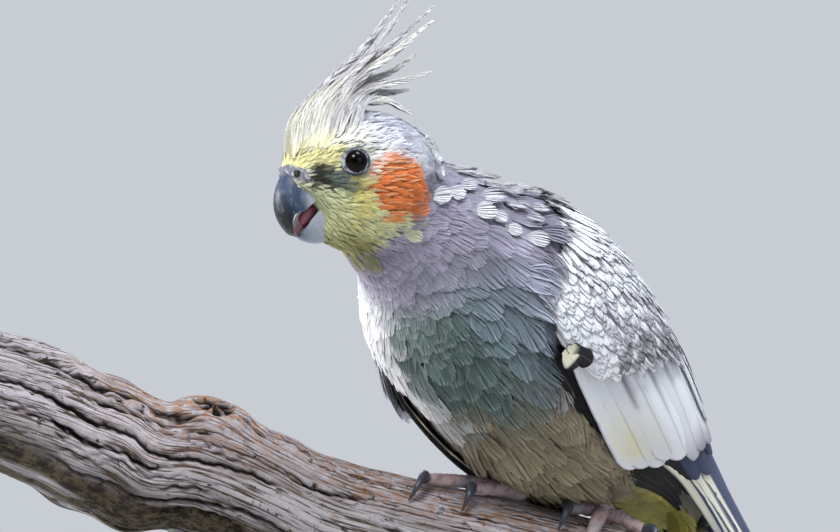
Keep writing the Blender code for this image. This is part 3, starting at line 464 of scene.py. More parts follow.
def mesh_object(name, points, faces, world=True):
    """A mesh object at the origin, from points in the bird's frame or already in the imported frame."""
    mesh = bpy.data.meshes.new(name)
    points = to_world(points) if world else np.asarray(points, float)
    faces = np.asarray(faces, np.int32)
    mesh.vertices.add(len(points))
    mesh.vertices.foreach_set("co", points.astype(np.float32).ravel())
    mesh.loops.add(faces.size)
    mesh.loops.foreach_set("vertex_index", faces.ravel())
    mesh.polygons.add(len(faces))
    mesh.polygons.foreach_set("loop_start", np.arange(0, faces.size, faces.shape[1], dtype=np.int32))
    mesh.update(calc_edges=True)
    mesh.validate()
    mesh.shade_smooth()
    return linked(name, mesh)


def give(obj, name, values, kind="FLOAT_VECTOR"):
    """Stores values on the mesh's vertices."""
    values = np.asarray(values, np.float32)
    if kind == "FLOAT_COLOR":
        values = np.concatenate([values, np.ones((len(values), 1), np.float32)], axis=1)
    made = obj.data.attributes.new(name, kind, "POINT")
    key = {"FLOAT_COLOR": "color", "FLOAT_VECTOR": "vector"}.get(kind, "value")
    made.data.foreach_set(key, values.ravel())


def grid_faces(rows, columns, closed=False):
    """Quads of a grid of rows and columns, with its columns joined end to end where closed."""
    across = columns if closed else columns - 1
    i, j = np.meshgrid(np.arange(rows - 1), np.arange(across), indexing="ij")
    k = (j + 1) % columns
    quads = np.stack([i * columns + j, i * columns + k, (i + 1) * columns + k, (i + 1) * columns + j], -1)
    return quads.reshape(-1, 4)


def places(obj, name="co"):
    """Where the mesh's vertices are, or their normals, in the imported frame."""
    values = np.empty(len(obj.data.vertices) * 3, np.float32)
    obj.data.vertices.foreach_get(name, values)
    return values.reshape(-1, 3)


def tinted(obj, tint):
    """Colours a mesh by its vertices and shades it smooth."""
    give(obj, "tint", np.clip(tint, 0, 1), "FLOAT_COLOR")
    obj.data.shade_smooth()
    return obj


def linked(name, data):
    """A new object in the scene."""
    made = bpy.data.objects.new(name, data)
    bpy.context.scene.collection.objects.link(made)
    return made


def outward(obj):
    """Turns a closed mesh's faces outwards."""
    work = bmesh.new()
    work.from_mesh(obj.data)
    bmesh.ops.remove_doubles(work, verts=work.verts, dist=1e-7)
    bmesh.ops.recalc_face_normals(work, faces=work.faces)
    if work.calc_volume(signed=True) < 0.0:
        bmesh.ops.reverse_faces(work, faces=work.faces)
    work.to_mesh(obj.data)
    work.free()
    return obj


def plain_mesh(obj, name):
    """The object's evaluated mesh as a new object, which takes its place."""
    graph = bpy.context.evaluated_depsgraph_get()
    mesh = bpy.data.meshes.new_from_object(obj.evaluated_get(graph), preserve_all_data_layers=True,
                                           depsgraph=graph)
    bpy.data.objects.remove(obj)
    mesh.name = name
    return linked(name, mesh)


def join(name, objects):
    """One object from several, the first of which gives its place."""
    with bpy.context.temp_override(active_object=objects[0], selected_editable_objects=objects,
                                   object=objects[0], selected_objects=objects):
        bpy.ops.object.join()
    objects[0].name = name
    objects[0].data.name = name
    return objects[0]


def put(obj, finish, slot, *nodes):
    """Gives a finished piece its material, hangs it on the root body and hides the parts that it stands for.
    """
    obj.data.materials.clear()
    obj.data.materials.append(finish)
    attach(obj, "root")
    if nodes:
        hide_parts(*nodes)


def feed(tree, node, inputs):
    """Sets a node's inputs. An input takes a number, a colour or another node's output socket."""
    for key, value in inputs.items():
        if isinstance(value, bpy.types.NodeSocket):
            tree.links.new(value, node.inputs[key])
        else:
            node.inputs[key].default_value = value
    return node


def add(tree, kind, inputs=None, **settings):
    """Adds a node with its settings, inputs and links."""
    made = tree.nodes.new(kind)
    for name, value in settings.items():
        setattr(made, name, value)
    return feed(tree, made, inputs or {})


def new_material(name):
    """A material with a Principled shader, its tree and its shader."""
    made = bpy.data.materials.new(name)
    made.use_nodes = True
    return made, made.node_tree, made.node_tree.nodes["Principled BSDF"]


def mixed(tree, share, first, second, blend="MIX"):
    made = add(tree, "ShaderNodeMix", {0: share, 6: first, 7: second}, data_type="RGBA", blend_type=blend)
    return made.outputs[2]


def ramp(tree, source, low, high):
    """A share that rises from 0 to 1 as the source goes from low to high."""
    made = add(tree, "ShaderNodeMapRange", {"Value": source, "From Min": low, "From Max": high},
               interpolation_type="SMOOTHSTEP")
    return made.outputs["Result"]


def rgba(colour):
    return (*colour, 1.0)


def hue(code):
    """An sRGB hex colour as a colour socket takes it."""
    return rgba(linear(code))


def sums(tree, operation, *values):
    """What a Math node makes of the values."""
    return add(tree, "ShaderNodeMath", dict(enumerate(values)), operation=operation).outputs[0]


def carried(tree, name, socket="Vector"):
    """What the mesh's vertices carry under this name."""
    return add(tree, "ShaderNodeAttribute", attribute_name=name).outputs[socket]


def object_place(tree):
    return add(tree, "ShaderNodeTexCoord").outputs["Object"]


def noise(tree, place, scale=1.0, detail=2.0, rough=0.5, warp=0.0):
    """Fractal noise about 0.5, scale times as fine as its place's unit."""
    made = add(tree, "ShaderNodeTexNoise", {"Vector": place, "Scale": scale, "Detail": detail,
                                            "Roughness": rough, "Distortion": warp})
    return made.outputs["Fac"]


def stretched(tree, place, scale):
    """The place scaled by its own factor along each axis."""
    return add(tree, "ShaderNodeMapping", {"Vector": place, "Scale": scale}).outputs["Vector"]


def fitted(tree, value, low, high, to_low, to_high):
    """The value carried in a straight line from one range to another."""
    made = add(tree, "ShaderNodeMapRange", {"Value": value, "From Min": low, "From Max": high,
                                            "To Min": to_low, "To Max": to_high})
    return made.outputs["Result"]


def relief(tree, height, depth_mm, strength, base=None):
    """The surface's normal, tilted by a height of so many millimetres over an optional base normal."""
    inputs = {"Height": height, "Distance": depth_mm * MM, "Strength": strength}
    if base is not None:
        inputs["Normal"] = base
    return add(tree, "ShaderNodeBump", inputs).outputs["Normal"]


# Materials


def feather_finish(name, barb_mm, barb_depth, edge, streak, quill=0.0, soft=0.0, painted_root_shade=0.0):
    """Keratin barbs hooked side by side: a soft matt vane with fine ribs and a pale sheen.

    The vane attribute holds the share across, the share along and the distance over the barbs in
    millimetres. Real barbs are about 0.3 mm apart, drawn coarser here so that they show. Soft plumage
    scatters light like the surface that it covers, so its normals lean towards the skin's.
    """
    made, tree, shader = new_material(name)
    parts = add(tree, "ShaderNodeSeparateXYZ", {"Vector": carried(tree, "vane")}).outputs
    across = sums(tree, "ABSOLUTE", parts["X"])
    # One wave in radians for each barb, uneven over patches of about 2 mm
    wave = sums(tree, "MULTIPLY", parts["Z"], 6.2832 / barb_mm)
    wobble = sums(tree, "MULTIPLY_ADD", noise(tree, object_place(tree), 420.0), 5.0, wave)
    barb = ramp(tree, sums(tree, "SINE", wobble), -1.0, 1.0)
    border = sums(tree, "MAXIMUM", ramp(tree, across, edge, 1.0), ramp(tree, parts["Y"], 0.80, 1.0))
    colour = mixed(tree, border, carried(tree, "tint", "Color"), carried(tree, "rim", "Color"))
    tones = mixed(tree, barb, rgba((1.0 - streak,) * 3), rgba((1.0 + 0.5 * streak,) * 3))
    colour = mixed(tree, 1.0, colour, tones, "MULTIPLY")
    # Painted shade and highlight: each feather is darker towards its root, where the one over it lies, and
    # lighter at its raised tip.
    if painted_root_shade:
        shade = mixed(tree, ramp(tree, parts["Y"], 0.45, 0.95), rgba((1.0 - painted_root_shade,) * 3), rgba((1.08,) * 3))
        colour = mixed(tree, 1.0, colour, shade, "MULTIPLY")
    colour = mixed(tree, sums(tree, "MULTIPLY", ramp(tree, across, 0.10, 0.0), quill), colour, hue("6E6A6C"))
    even = None
    if soft:
        flat = add(tree, "ShaderNodeNewGeometry").outputs["Normal"]
        lean = add(tree, "ShaderNodeMix", {0: soft, 4: flat, 5: carried(tree, "soft")}, data_type="VECTOR")
        even = add(tree, "ShaderNodeVectorMath", {0: lean.outputs[1]}, operation="NORMALIZE").outputs[0]
    feed(tree, shader, {"Base Color": colour, "Normal": relief(tree, barb, barb_depth, 0.6, even),
                        "Roughness": 0.7, "Specular IOR Level": 0.22, "Sheen Weight": 0.06,
                        "Sheen Roughness": 0.4})
    return made


def tinted_skin(name, roughness, grain_mm, depth_mm, coat=0.0):
    """Living skin or horn: its colour is on the mesh, with fine pores or grain as bump and tone."""
    made, tree, shader = new_material(name)
    tint, place = carried(tree, "tint", "Color"), object_place(tree)
    grain = noise(tree, place, 1.0 / (grain_mm * MM), 4.0, 0.65)
    pores = add(tree, "ShaderNodeTexVoronoi", {"Vector": place, "Scale": 0.6 / (grain_mm * MM)},
                feature="SMOOTH_F1").outputs["Distance"]
    # Darker where the grain's relief lies low.
    low_grain_tone = mixed(tree, 0.22, tint, hue("2A2624"))
    height = sums(tree, "MULTIPLY_ADD", pores, 0.6, grain)
    feed(tree, shader, {"Base Color": mixed(tree, ramp(tree, grain, 0.35, 0.75), low_grain_tone, tint),
                        "Roughness": fitted(tree, grain, 0.3, 0.7, roughness - 0.08, roughness + 0.12),
                        "Normal": relief(tree, height, depth_mm, 0.7), "Specular IOR Level": 0.3,
                        "Coat Weight": coat, "Coat Roughness": 0.25})
    return made


def eye_finish():
    """A wet cornea over a near-black iris: very dark brown with a clear, sharp gloss."""
    made, tree, shader = new_material("wet_dark_eye")
    feed(tree, shader, {"Base Color": carried(tree, "tint", "Color"), "Roughness": 0.05, "IOR": 1.376,
                        "Specular IOR Level": 0.25})
    return made


def wood_finish(settings):
    """Weathered hardwood: silver-grey fibres, checks dark with their own wood and painted shade, warm bared
    patches and an underside dark with moss and painted shade.

    The grain attribute holds distance along, distance round and depth below the surface, in mm.
    """
    made, tree, shader = new_material("weathered_hardwood")
    grain = carried(tree, "grain")
    depth = add(tree, "ShaderNodeSeparateXYZ", {"Vector": grain}).outputs["Z"]
    # Fibres are about 0.6 mm wide and 14 mm long, bands 6 by 45 mm, flecks 2 by 3 mm.
    fibre = noise(tree, stretched(tree, grain, (0.07, 1.6, 0.0)), 1.0, 5.0, 0.62, 0.35)
    band = noise(tree, stretched(tree, grain, (0.022, 0.16, 0.0)), 1.0, 4.0, 0.5, 0.8)
    fleck_place = stretched(tree, grain, (0.35, 0.5, 0.0))
    fleck = noise(tree, fleck_place, 1.0, 3.0)
    # Weathered pits and dark stains are 1 to 4 mm across.
    speck = noise(tree, fleck_place, 0.8, 6.0, 0.75)
    warm = sums(tree, "MULTIPLY", carried(tree, "warm", "Fac"), ramp(tree, fleck, 0.42, 0.60))
    # Painted shade with dark moss: the branch's underside is darkened.
    damp = sums(tree, "MULTIPLY", carried(tree, "damp", "Fac"), ramp(tree, band, 0.30, 0.52))
    colour = rgba(settings.wood)
    for share, layer in (
        (ramp(tree, band, 0.44, 0.70), hue("B3A9AB")),
        (ramp(tree, fibre, 0.50, 0.40), hue("5C4C40")),
        (ramp(tree, fibre, 0.55, 0.68), hue("E4DDE0")),
        (ramp(tree, speck, 0.57, 0.64), hue("3A322E")),
        (ramp(tree, speck, 0.40, 0.30), hue("B48A66")),
        (warm, rgba(settings.wood_warm)),
        (ramp(tree, fleck, 0.66, 0.76), hue("4E4A4C")),
        # Painted shade: the crack colour deepens with depth into cracks, checks and the knot's hollow, over
        # their darker wood.
        (ramp(tree, depth, 0.25, 1.15), rgba(settings.crack_dark_and_shade)),
        (damp, mixed(tree, ramp(tree, speck, 0.44, 0.58), hue("2A241B"), hue("6A5C48"))),
    ):
        colour = mixed(tree, share, colour, layer)
    height = sums(tree, "MULTIPLY_ADD", speck, -1.2, sums(tree, "MULTIPLY_ADD", fibre, 2.2, fleck))
    feed(tree, shader, {"Base Color": colour, "Roughness": 0.86, "Specular IOR Level": 0.3,
                        "Normal": relief(tree, height, 1.0, 1.0)})
    return made


def plinth_finish(settings):
    """Stained beech under satin varnish: fine grain along the length with short dark pores."""
    made, tree, shader = new_material("stained_beech")
    place = object_place(tree)
    grain = noise(tree, stretched(tree, place, (22.0, 420.0, 420.0)), 1.0, 4.0, 0.5, 0.4)
    pore = noise(tree, stretched(tree, place, (260.0, 2400.0, 900.0)), 1.0, 1.0)
    colour = mixed(tree, ramp(tree, grain, 0.3, 0.7), rgba(settings.plinth), hue("5B3A26"))
    colour = mixed(tree, ramp(tree, pore, 0.62, 0.74), colour, hue("1B110B"))
    feed(tree, shader, {"Base Color": colour, "Roughness": 0.36, "Coat Weight": 0.3, "Coat Roughness": 0.2,
                        "Normal": relief(tree, pore, 0.06, 0.5)})
    return made


def steel_finish():
    """Brushed stainless rod: fine turned lines round it, about 0.1 mm apart, soften the gloss."""
    made, tree, shader = new_material("brushed_stainless")
    brushed = noise(tree, stretched(tree, object_place(tree), (60.0, 60.0, 9000.0)))
    feed(tree, shader, {"Base Color": mixed(tree, brushed, hue("9A9B9D"), hue("C4C5C7")), "Metallic": 1.0,
                        "Roughness": fitted(tree, brushed, 0.0, 1.0, 0.24, 0.40),
                        "Normal": relief(tree, brushed, 0.02, 0.4)})
    return made


def floor_finish(colour):
    """Matt studio board, faintly uneven in tone."""
    made, tree, shader = new_material("pale_studio_board")
    uneven = noise(tree, object_place(tree), 6.0, 1.0)
    darker = rgba(tuple(c * 0.97 for c in colour))
    feed(tree, shader, {"Base Color": mixed(tree, uneven, rgba(colour), darker), "Roughness": 0.9,
                        "Specular IOR Level": 0.1})
    return made


# The plumage's markings


def laid(base, colour, share):
    """A colour laid over a list of colours, with a share for each of them."""
    return base + (np.asarray(colour) - base) * np.clip(share, 0.0, 1.0)[:, None]


def laid_on(base, colour, share):
    """The same for a grid of colours, with a share for each place on it."""
    return base + (np.asarray(colour) - base) * np.clip(share, 0.0, 1.0)


def bump_at(x, z, centre, size, soft=0.35):
    """1 inside an ellipse, falling to 0 over the soft share outside it."""
    reach = np.hypot((x - centre[0]) / size[0], (z - centre[1]) / size[1])
    return smooth((1.0 + soft - reach) / soft)


NECK_PALE, FLANK_SHEEN_PAINTED, SHOULDER_SKYLIGHT = ink("D0D4E2"), ink("8399A8"), ink("C9D3E8")
BROW, EYE_GREY, OLIVE_THROAT_AND_SHADE = ink("F8F0A0"), ink("8C9A94"), ink("665D12")
CHEEK_FRONT, NAPE_PALE = ink("E6D25C"), ink("E2E6F2")


def body_colours(points, settings, patchy, fine):
    """Grey mantle, cool grey breast paler in the middle, brown belly, olive vent."""
    white, lilac, breast, belly, vent = inks(settings, "white", "lilac", "breast", "belly", "vent")
    s, degrees = spine_place(points)
    side = either_side(degrees)
    colour = np.tile(lilac, (len(points), 1))
    cool = smooth((side - 92.0 + 7.0 * patchy) / 44.0) * smooth((s - 14.0 + 4.0 * patchy) / 20.0)
    colour = laid(colour, breast * 0.88, cool)
    colour = laid(colour, NECK_PALE, smooth((17.0 - s) / 9.0) * smooth((58.0 - side) / 26.0) * 0.9)
    # The far side of the breast is white, brightened further as a painted rim of backlight.
    far = smooth((degrees - 174.0) / 26.0) * smooth((262.0 - degrees) / 20.0) * smooth((s - 14.0) / 14.0)
    colour = laid(colour, white * 1.05, far * smooth((96.0 - s) / 24.0) * 0.95)
    # Painted sheen: a bluish grey laid over the near side of the breast.
    near = smooth((side - 92.0) / 22.0) * smooth((150.0 - side) / 26.0) * smooth((s - 20.0) / 10.0)
    colour = laid(colour, FLANK_SHEEN_PAINTED, near * (degrees < 180.0) * smooth((66.0 - s) / 20.0) * 0.6)
    # Painted light: a pale bluish skylight on the shoulder ahead of the wing.
    shoulder = smooth((side - 80.0) / 14.0) * smooth((116.0 - side) / 14.0) * smooth((s - 32.0) / 9.0)
    colour = laid(colour, SHOULDER_SKYLIGHT, shoulder * smooth((60.0 - s) / 12.0) * 0.6)
    low = smooth((s - 50.0 + 5.0 * patchy) / 15.0) * smooth((side - 100.0) / 22.0)
    colour = laid(colour, belly, low * 0.95)
    # Painted shade: the underside darkens towards the rear of the belly.
    colour = colour * (1.0 - 0.22 * smooth((s - 74.0) / 22.0) * smooth((side - 110.0) / 25.0))[:, None]
    colour = laid(colour, vent, smooth((s - 101.0) / 12.0) * smooth((side - 96.0) / 22.0))
    return colour * (1.0 + 0.07 * patchy + 0.04 * fine)[:, None]


def head_colours(points, settings, patchy, fine):
    """Cream forehead, yellow brow and face, mottled white crown, lilac nape and orange ear patch."""
    face, cream, chin, lore, cheek, white, lilac = inks(
        settings, "face", "cream", "chin", "lore", "cheek", "white", "lilac")
    x, y, z = into_head(points).T
    colour = np.tile(chin, (len(points), 1))
    colour = laid(colour, cream, smooth((z + 3.0) / 6.0) * 0.7)
    colour = laid(colour, face * 0.85 + chin * 0.15, bump_at(x, z, (1.0, -9.0), (7.0, 6.0), 0.9) * 0.6)
    brow = bump_at(x + 0.7 * fine, z + 0.5 * fine, (11.8, 6.0), (5.5, 1.7), 0.9)
    colour = laid(colour, BROW, brow * 0.8)
    colour = laid(colour, cream, smooth((z - 6.4) / 3.4) * (1.0 - 0.5 * brow))
    crown = smooth((5.0 - x) / 6.0) * smooth((z - 1.0) / 5.0)
    colour = laid(colour, white * (0.80, 0.81, 0.88), crown)
    speckle = smooth((patchy * 0.6 + fine * 0.7 + 0.05) / 0.3)
    colour = laid(colour, lilac * 0.9, speckle * smooth((1.0 - x) / 5.0) * smooth((z + 2.0) / 5.0) * 0.6)
    slant = z - 0.22 * (x - 10.4) + 1.1 * fine
    colour = laid(colour, lore, bump_at(x + 1.2 * fine, slant, (10.2, 0.8), (4.4, 1.9), 1.1) * 0.97)
    round_eye = bump_at(x, z, (4.8, 2.6), (4.8, 4.0), 0.6) * 0.6
    colour = laid(colour, EYE_GREY, round_eye * smooth((4.6 - z) / 3.0))
    colour = laid(colour, cream, bump_at(x, z, (-2.0, 4.5), (3.0, 3.5), 0.8) * 0.6)
    # The dark olive throat is partly its own colour and partly painted shade under the head.
    throat = smooth((-11.0 - z + 0.2 * x) / 7.0) * smooth((x + 14.0) / 6.0)
    colour = laid(colour, OLIVE_THROAT_AND_SHADE, throat * (0.86 + 0.14 * patchy))
    yellow = bump_at(x + 0.5 * fine, z + 0.8 * fine, (4.6, -3.4), (1.5, 5.5), 0.9)
    colour = laid(colour, CHEEK_FRONT, yellow * 0.5)
    nape = smooth((-7.9 - x - 0.12 * (z + 4.0) + 0.8 * fine) / 3.0)
    grey = lilac * 0.62
    grey = grey + (NAPE_PALE - grey) * smooth((z + 0.5) / 6.0)[:, None]
    colour = laid(colour, grey, nape * (1.0 - 0.5 * crown))
    patch = bump_at(x + 0.4 * fine, z + 0.5 * fine, (-4.7, -1.6), (5.8, 6.7), 0.36)
    patch = patch * smooth((np.abs(y) - 7.0) / 3.0)
    return laid(colour, cheek * (0.95 + 0.1 * patchy[:, None]), patch)


def plumage(points, settings):
    """The plumage's colour at points of the bird's frame, by place on the head and body."""
    patchy, fine = ripple(points, 9.0, 3), ripple(points, 3.5, 5)
    head = head_colours(points, settings, patchy, fine)
    body = body_colours(points, settings, patchy, fine)
    x, _, z = into_head(points).T
    # The yellow ends on a slanting line under the cheek.
    edge = -17.4 - 0.72 * np.minimum(x, 0.0) - 0.48 * np.maximum(x, 0.0) + patchy + 0.8 * fine
    on_body = np.maximum(smooth((-13.5 - x) / 5.0), smooth((edge - z) / 5.5 + 0.5))
    return np.clip(head + (body - head) * on_body[:, None], 0.0, 1.0)


def lie_direction(points, normals):
    """Which way the plumage lies: back from the bill over the head, tailwards over the body."""
    s, degrees = spine_place(points)
    _, along, _ = spine(s)
    flat = into_head(points)
    radiate = flat - np.array([19.0, 0.0, 1.0])
    radiate[:, 0] = np.minimum(radiate[:, 0], -2.0)
    head_way = unit(radiate) @ HEAD_TURNED.T
    share = smooth((-4.0 - flat[:, 0]) / 16.0)
    share = np.maximum(share, smooth((-15.0 - flat[:, 2]) / 8.0) * 0.8)
    # Flank feathers turn up over the wing's front edge.
    over_edge = either_side(degrees) - wing_low(s)
    flank = smooth((s - 40.0) / 10.0) * smooth((92.0 - s) / 14.0)
    flank = flank * smooth((over_edge + 6.0) / 8.0) * smooth((26.0 - over_edge) / 16.0)
    upward = unit(np.cross(normals, along)) * np.sign(points[:, 1:2]) * -1.0
    along = unit(along + upward * (flank * 0.35)[:, None])
    way = unit(head_way * (1.0 - share)[:, None] + along * share[:, None])
    return unit(way - normals * dot(way, normals)[:, None])


def unwrap(points):
    """A place for each point on an unwrap of the skin: round the spine and along it, the head above."""
    flat = into_head(points)
    s, degrees = spine_place(points)
    on_head = flat[:, 0] > -10.0
    turn = np.degrees(np.arctan2(flat[:, 1], flat[:, 2])) % 360.0
    u = np.where(on_head, turn, degrees) / 360.0 * 0.96 + 0.02
    v = np.where(on_head, 0.68 + (flat[:, 0] + 10.0) / 29.0 * 0.29, 0.02 + s / 150.0 * 0.62)
    return np.stack([u, v], 1)


# Skin and coat


def body_skin(name, depth, step=1.2, sides=120):
    """The torso's skin, sunk by the depth, and deeper under the folded wings."""
    s = np.arange(0.0, 139.0, step)
    grid_s, grid_turn = np.meshgrid(s, np.linspace(0.0, 360.0, sides, endpoint=False), indexing="ij")
    sunk = np.maximum(bed_depth(grid_s, grid_turn) + 0.9, depth)
    sunk = np.minimum(sunk, body_row(grid_s)[..., 2] * 0.45)
    return capped(name, lifted_point(grid_s, grid_turn, -sunk).reshape(-1, 3), len(s), sides)


def capped(name, points, rows, columns):
    """A closed tube of rings, with a point in the middle of each end."""
    ends = np.array([points[:columns].mean(0), points[-columns:].mean(0)])
    faces = [tuple(face) for face in grid_faces(rows, columns, True)]
    first, last, j = len(points), (rows - 1) * columns, np.arange(columns)
    mesh = bpy.data.meshes.new(name)
    faces += [(int(a), int((a + 1) % columns), first) for a in j]
    faces += [(int(last + a), int(last + (a + 1) % columns), first + 1) for a in j]
    mesh.from_pydata(to_world(np.concatenate([points, ends])).tolist(), [], faces)
    return outward(linked(name, mesh))


def head_skin(name, depth, sides=96):
    """The head's skin, sunk by the depth."""
    forward = np.concatenate([np.linspace(-22.0, 16.0, 40), np.linspace(16.4, 18.2, 6)])
    row = head_row(forward)
    turn = all_round(sides)
    rise = np.where(np.cos(turn) > 0.0, row[:, 1:2], row[:, 2:3])
    rise = np.maximum(rise - depth, rise * 0.55) * np.cos(turn)
    half = np.maximum(row[:, 0:1] - depth, row[:, 0:1] * 0.55) * np.sin(turn)
    ahead = np.broadcast_to((forward - depth * (forward / 20.0))[:, None], half.shape)
    return capped(name, from_head(np.stack([ahead, half, rise], -1).reshape(-1, 3)), len(forward), sides)


def ball(name, at, size, segments=32):
    """A squashed ball in the head's frame."""
    polar = np.linspace(0.0, np.pi, segments // 2 + 1)[1:-1]
    turn = all_round(segments)
    x = size[0] * np.sin(polar)[:, None] * np.cos(turn)
    y = size[1] * np.sin(polar)[:, None] * np.sin(turn)
    z = np.broadcast_to((size[2] * np.cos(polar))[:, None], x.shape)
    points = np.stack([x, y, z], -1).reshape(-1, 3) + np.asarray(at)
    return capped(name, from_head(points), len(polar), segments)


def mirrored(at, side):
    """A place on the head's left, or its mirror image where the side is -1."""
    return np.array([at[0], at[1] * side, at[2]])


def carve(obj, cutters):
    """Cuts the cutters from the object and removes them."""
    for cutter in cutters:
        modifier = obj.modifiers.new("carve", "BOOLEAN")
        modifier.operation = "DIFFERENCE"
        modifier.object = cutter
        modifier.solver = "EXACT"
    made = plain_mesh(obj, obj.name)
    for cutter in cutters:
        bpy.data.objects.remove(cutter)
    return made


def mouth_cutter():
    """The open mouth's hollow, as a solid to cut with."""
    start, end, wide, tall = MOUTH
    turn = all_round(32)
    rings = []
    for share in np.linspace(0.0, 1.0, 8):
        ahead = start[0] + (end[0] + 4.0 - start[0]) * share
        up = start[1] + (end[1] - start[1]) * share
        rings.append(np.stack([np.full(32, ahead), wide * np.cos(turn), up + tall * np.sin(turn)], 1))
    return capped("mouth", from_head(np.concatenate(rings)), 8, 32)


def make_skin(settings):
    """One skin over torso, neck and head, fused by voxels and relaxed so that no seam shows."""
    chin = ball("skin_chin", (6.3, 0.0, -9.4), (4.6, 5.8, 5.2))
    whole = join("skin", [body_skin("skin", 2.1), head_skin("skin_head", 1.0), chin])
    remesh = whole.modifiers.new("fuse", "REMESH")
    remesh.mode = "VOXEL"
    remesh.voxel_size = 0.85 * MM
    relax = whole.modifiers.new("relax", "SMOOTH")
    relax.iterations = 10
    relax.factor = 0.5
    whole = plain_mesh(whole, "skin")
    cutters = [mouth_cutter()]
    for side in (1, -1):
        cutters.append(ball("socket", mirrored(EYE_AT, side), (EYE_RADIUS + 0.05,) * 3))
    whole = carve(whole, cutters)
    points, normals = to_bird(places(whole)), places(whole, "normal")
    # Painted shade: the skin is the plumage's colour darkened, where it shows between the feathers.
    tint = plumage(points, settings) * 0.8
    head = into_head(points)
    in_mouth = (np.abs(head[:, 1]) < 3.5) & (head[:, 0] > 4.0) & (np.abs(head[:, 2] + 6.0) < 4.2)
    tint[in_mouth] = linear("6A2A32")
    puffs = np.stack([ripple(points, 7.5, 70 + k) for k in range(3)], 1) * 0.34
    puffs *= smooth((-11.0 - head[:, :1]) / 9.0)
    give(whole, "outward", unit(normals + puffs @ BIRD_TURNED.T))
    return tinted(whole, tint)


def feather_template(name, strips, steps, ragged, seed):
    """A unit feather of barb strips that fan out from its root. Y runs along it, X across."""
    dice = np.random.default_rng(seed)
    points, faces, vane, rise = [], [], [], []
    edges = np.linspace(-1.0, 1.0, strips + 1)
    for k in range(strips):
        middle = (edges[k] + edges[k + 1]) / 2.0
        reach = math.sqrt(max(1.0 - (abs(middle) * 0.93) ** 2.2, 0.02))
        length = 0.40 + 0.60 * reach - ragged * dice.uniform(0.0, 1.0)
        bend = dice.normal(0.0, 0.035)
        strand = dice.uniform(0.0, 9.0)
        stand = dice.uniform(0.85, 1.2)
        for i in range(steps + 1):
            t = i / steps
            along = length * t
            open_up = smooth(along / 0.45) * 0.68 + 0.32
            narrow = 1.0 - 0.62 * t**2.2
            centre = middle * open_up + bend * t * t
            half = (edges[k + 1] - edges[k]) / 2.0 * open_up * narrow * 1.7
            lift = stand * t**0.8 + 0.22 * (1.0 - middle**2) * t
            for edge in (-1.0, 1.0):
                x = centre + edge * half
                points.append((x * 0.5, along, 0.0))
                vane.append((x, t * reach, strand))
                rise.append(lift + 0.03 * edge)
        start = len(points) - 2 * (steps + 1)
        faces += [(i, i + 1, i + 3, i + 2) for i in range(start, start + 2 * steps, 2)]
    obj = mesh_object(name, points, faces, world=False)
    give(obj, "vane", vane)
    give(obj, "rise", rise, "FLOAT")
    return obj


def coat_tree():
    """Geometry Nodes: a feather on every root, turned to its lie and bent onto the skin's curve."""
    tree = bpy.data.node_groups.new("lay_feathers", "GeometryNodeTree")
    for name, kind in (("Roots", "Geometry"), ("Skin", "Object"), ("Feathers", "Collection"),
                       ("Finish", "Material"), ("Lift", "Float")):
        tree.interface.new_socket(name, in_out="INPUT", socket_type=f"NodeSocket{kind}")
    tree.interface.new_socket("Coat", in_out="OUTPUT", socket_type="NodeSocketGeometry")

    def node(kind, inputs=None, **settings):
        return add(tree, kind, inputs, **settings).outputs[0]

    given = add(tree, "NodeGroupInput").outputs
    lie, size, outwards = (
        node("GeometryNodeInputNamedAttribute", {"Name": name}, data_type="FLOAT_VECTOR")
        for name in ("lie", "size", "outward"))
    rise = node("GeometryNodeInputNamedAttribute", {"Name": "rise"}, data_type="FLOAT")
    kind = node("GeometryNodeInputNamedAttribute", {"Name": "kind"}, data_type="INT")
    skin = add(tree, "GeometryNodeObjectInfo", {"Object": given["Skin"]}).outputs["Geometry"]
    group = node("GeometryNodeCollectionInfo", {"Collection": given["Feathers"], "Separate Children": True,
                                                "Reset Children": True})
    laid_out = node("GeometryNodeInstanceOnPoints", {
        "Points": given["Roots"], "Instance": group, "Pick Instance": True, "Instance Index": kind,
        "Rotation": node("FunctionNodeEulerToRotation", {0: lie}), "Scale": size})
    place = node("GeometryNodeInputPosition")
    near, facing = (
        node("GeometryNodeSampleNearestSurface", {"Mesh": skin, "Value": value, "Sample Position": place},
             data_type="FLOAT_VECTOR")
        for value in (place, outwards))
    tall = add(tree, "ShaderNodeSeparateXYZ", {0: size}).outputs["Z"]
    height = sums(tree, "ADD", sums(tree, "MULTIPLY", rise, tall), given["Lift"])
    raised = node("ShaderNodeVectorMath", {0: facing, "Scale": height}, operation="SCALE")
    above = node("ShaderNodeVectorMath", {0: near, 1: raised}, operation="ADD")
    bent = node("GeometryNodeSetPosition", {
        "Geometry": node("GeometryNodeRealizeInstances", {0: laid_out}), "Position": above})
    kept = node("GeometryNodeStoreNamedAttribute", {"Geometry": bent, "Name": "soft", "Value": facing},
                data_type="FLOAT_VECTOR")
    done = node("GeometryNodeSetMaterial", {"Geometry": kept, "Material": given["Finish"]})
    add(tree, "NodeGroupOutput", {0: done})
    return tree


def spread(points, spacing, seed):
    """Keeps points that are at least their spacing apart, in a shuffled order."""
    order = np.random.default_rng(seed).permutation(len(points))
    cell = float(spacing.max())
    keys = np.floor(points / cell).astype(int)
    kept, cells = [], {}
    around = [(a, b, c) for a in (-1, 0, 1) for b in (-1, 0, 1) for c in (-1, 0, 1)]
    for i in order:
        key = tuple(keys[i])
        limit = spacing[i] ** 2
        near = [j for step in around for j in cells.get(tuple(k + d for k, d in zip(key, step)), ())]
        if near and (((points[near] - points[i]) ** 2).sum(1) < limit).any():
            continue
        kept.append(i)
        cells.setdefault(key, []).append(i)
    return np.array(kept)


